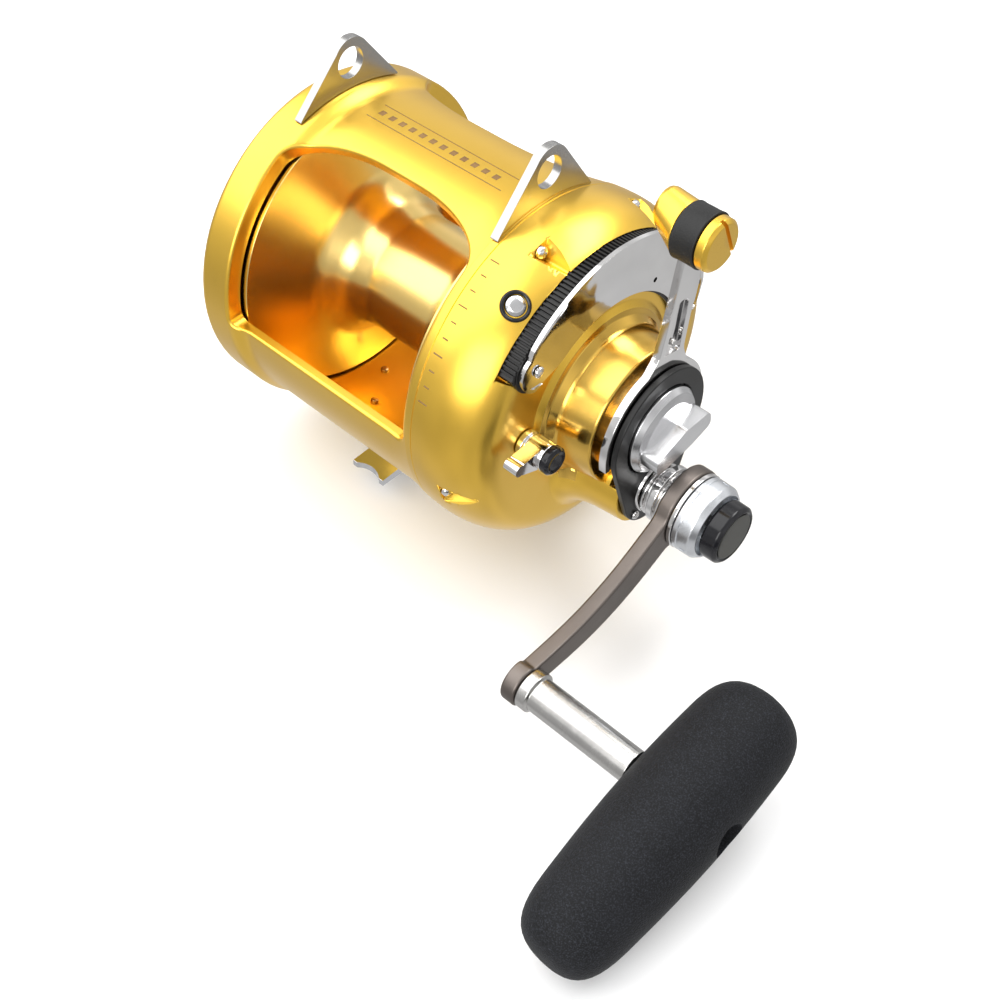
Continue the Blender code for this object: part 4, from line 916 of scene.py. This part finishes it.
INNER_LOOKS = {
    STEEL: ("spool_shaft", "spool_bearing_left", "spool_bearing_right", "cam_follower", "pressure_plate",
            "pinion_bearing", "gear_bearing_inner", "gear_bearing_outer", "gear_shaft",
            "anti_reverse_ratchet", "anti_reverse_dog", "dog_pin", "shift_rod", "click_pawl",
            "release_spring"),
    BRONZE: ("pinion_sleeve", "low_pinion", "low_gear", "high_gear", "click_ratchet"),
    CARBON: ("drag_washer",),
    GOLD: ("bridge_plate",),
}


def paint_inner_works():
    for look, names in INNER_LOOKS.items():
        for name in names:
            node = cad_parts[name]
            node.data.materials.clear()
            node.data.materials.append(look)


# ---------------------------------------------------------------- stage, light and camera

def make_stage():
    floor_z = CAD_BOX[0][2] / MM - 0.4
    bm = bmesh.new()
    bmesh.ops.create_grid(bm, x_segments=8, y_segments=8, size=6.0)
    floor = new_object("floor", bm, Vector((0.0, 0.0, floor_z)))

    def paper(tree, place):
        cloud = noise(tree, place, 3.0, 2.0)
        base = blend_colour(tree, cloud, (0.90, 0.90, 0.90), (0.93, 0.93, 0.93))
        return {"Base Color": base, "Roughness": 0.9}

    floor.data.materials.append(make_look("paper", "silver", paper))
    floor.visible_glossy = False


def aim(obj, place, target):
    obj.location = Vector(place)
    obj.rotation_euler = (Vector(target) - Vector(place)).to_track_quat("-Z", "Y").to_euler()


def area_light(name, place, size, power, colour=(1.0, 1.0, 1.0), target=(0.02, 0.0, 0.08)):
    data = bpy.data.lights.new(name, "AREA")
    data.shape = "RECTANGLE"
    data.size, data.size_y = size
    data.energy = power
    data.color = colour
    lamp = bpy.data.objects.new(name, data)
    bpy.context.collection.objects.link(lamp)
    aim(lamp, place, target)


def make_light():
    """A soft room, brighter above, with slightly uneven walls, and three panel lights."""
    world = bpy.data.worlds.new("studio")
    world.use_nodes = True
    bpy.context.scene.world = world
    tree = world.node_tree
    background = tree.nodes["Background"]
    way = add_node(tree, "ShaderNodeTexCoord").outputs["Generated"]
    height = add_node(tree, "ShaderNodeSeparateXYZ", {"Vector": way}).outputs["Z"]
    ramp = add_node(tree, "ShaderNodeValToRGB")
    steps = ((0.0, 0.68), (0.20, 0.58), (0.40, 0.46), (0.52, 0.60), (0.62, 0.92), (0.76, 0.62),
             (0.88, 0.85), (1.0, 0.95))
    while len(ramp.color_ramp.elements) < len(steps):
        ramp.color_ramp.elements.new(0.5)
    for element, (place, value) in zip(ramp.color_ramp.elements, steps):
        element.position = place
        element.color = (value, value, value, 1.0)
    panels = spread(tree, noise(tree, way, 2.2, 0.0), 0.80, 1.18)
    scaled = add_node(tree, "ShaderNodeMapRange", {"Value": height, "From Min": -1.0, "From Max": 1.0})
    tree.links.new(scaled.outputs["Result"], ramp.inputs["Fac"])
    lit = add_node(tree, "ShaderNodeVectorMath", {0: ramp.outputs["Color"], 1: panels}, operation="MULTIPLY")
    tree.links.new(lit.outputs["Vector"], background.inputs["Color"])
    background.inputs["Strength"].default_value = 0.97
    area_light("key", (-0.75, -0.45, 1.25), (1.9, 1.9), 22.0)
    area_light("fill", (0.35, -1.20, 0.55), (1.0, 0.7), 9.0)
    area_light("top", (0.25, 0.65, 1.05), (0.9, 0.5), 8.0)


def make_camera():
    data = bpy.data.cameras.new("camera")
    data.lens = 54.0
    data.sensor_width = 36.0
    camera = bpy.data.objects.new("camera", data)
    bpy.context.collection.objects.link(camera)
    right, up = Vector((0.7279, 0.6853, 0.0190)), Vector((-0.5092, 0.5219, 0.6843))
    back = right.cross(up).normalized()
    turn = Matrix((right, up, back)).transposed().to_4x4()
    camera.matrix_world = Matrix.Translation(Vector((319.4, -317.1, 432.3)) * MM) @ turn
    bpy.context.scene.camera = camera
    bpy.context.scene.view_settings.view_transform = "Standard"


make_frame()
make_cavity_screws()
make_left_plate()
make_right_plate()
make_marks()
make_lugs()
make_foot()
make_plate_screws()
make_quadrant()
make_lever()
make_end_cover()
make_preset_knob()
make_strike_button()
make_spool()
make_clicker()
make_crank()
make_grip()
paint_inner_works()
make_stage()
make_light()
make_camera()
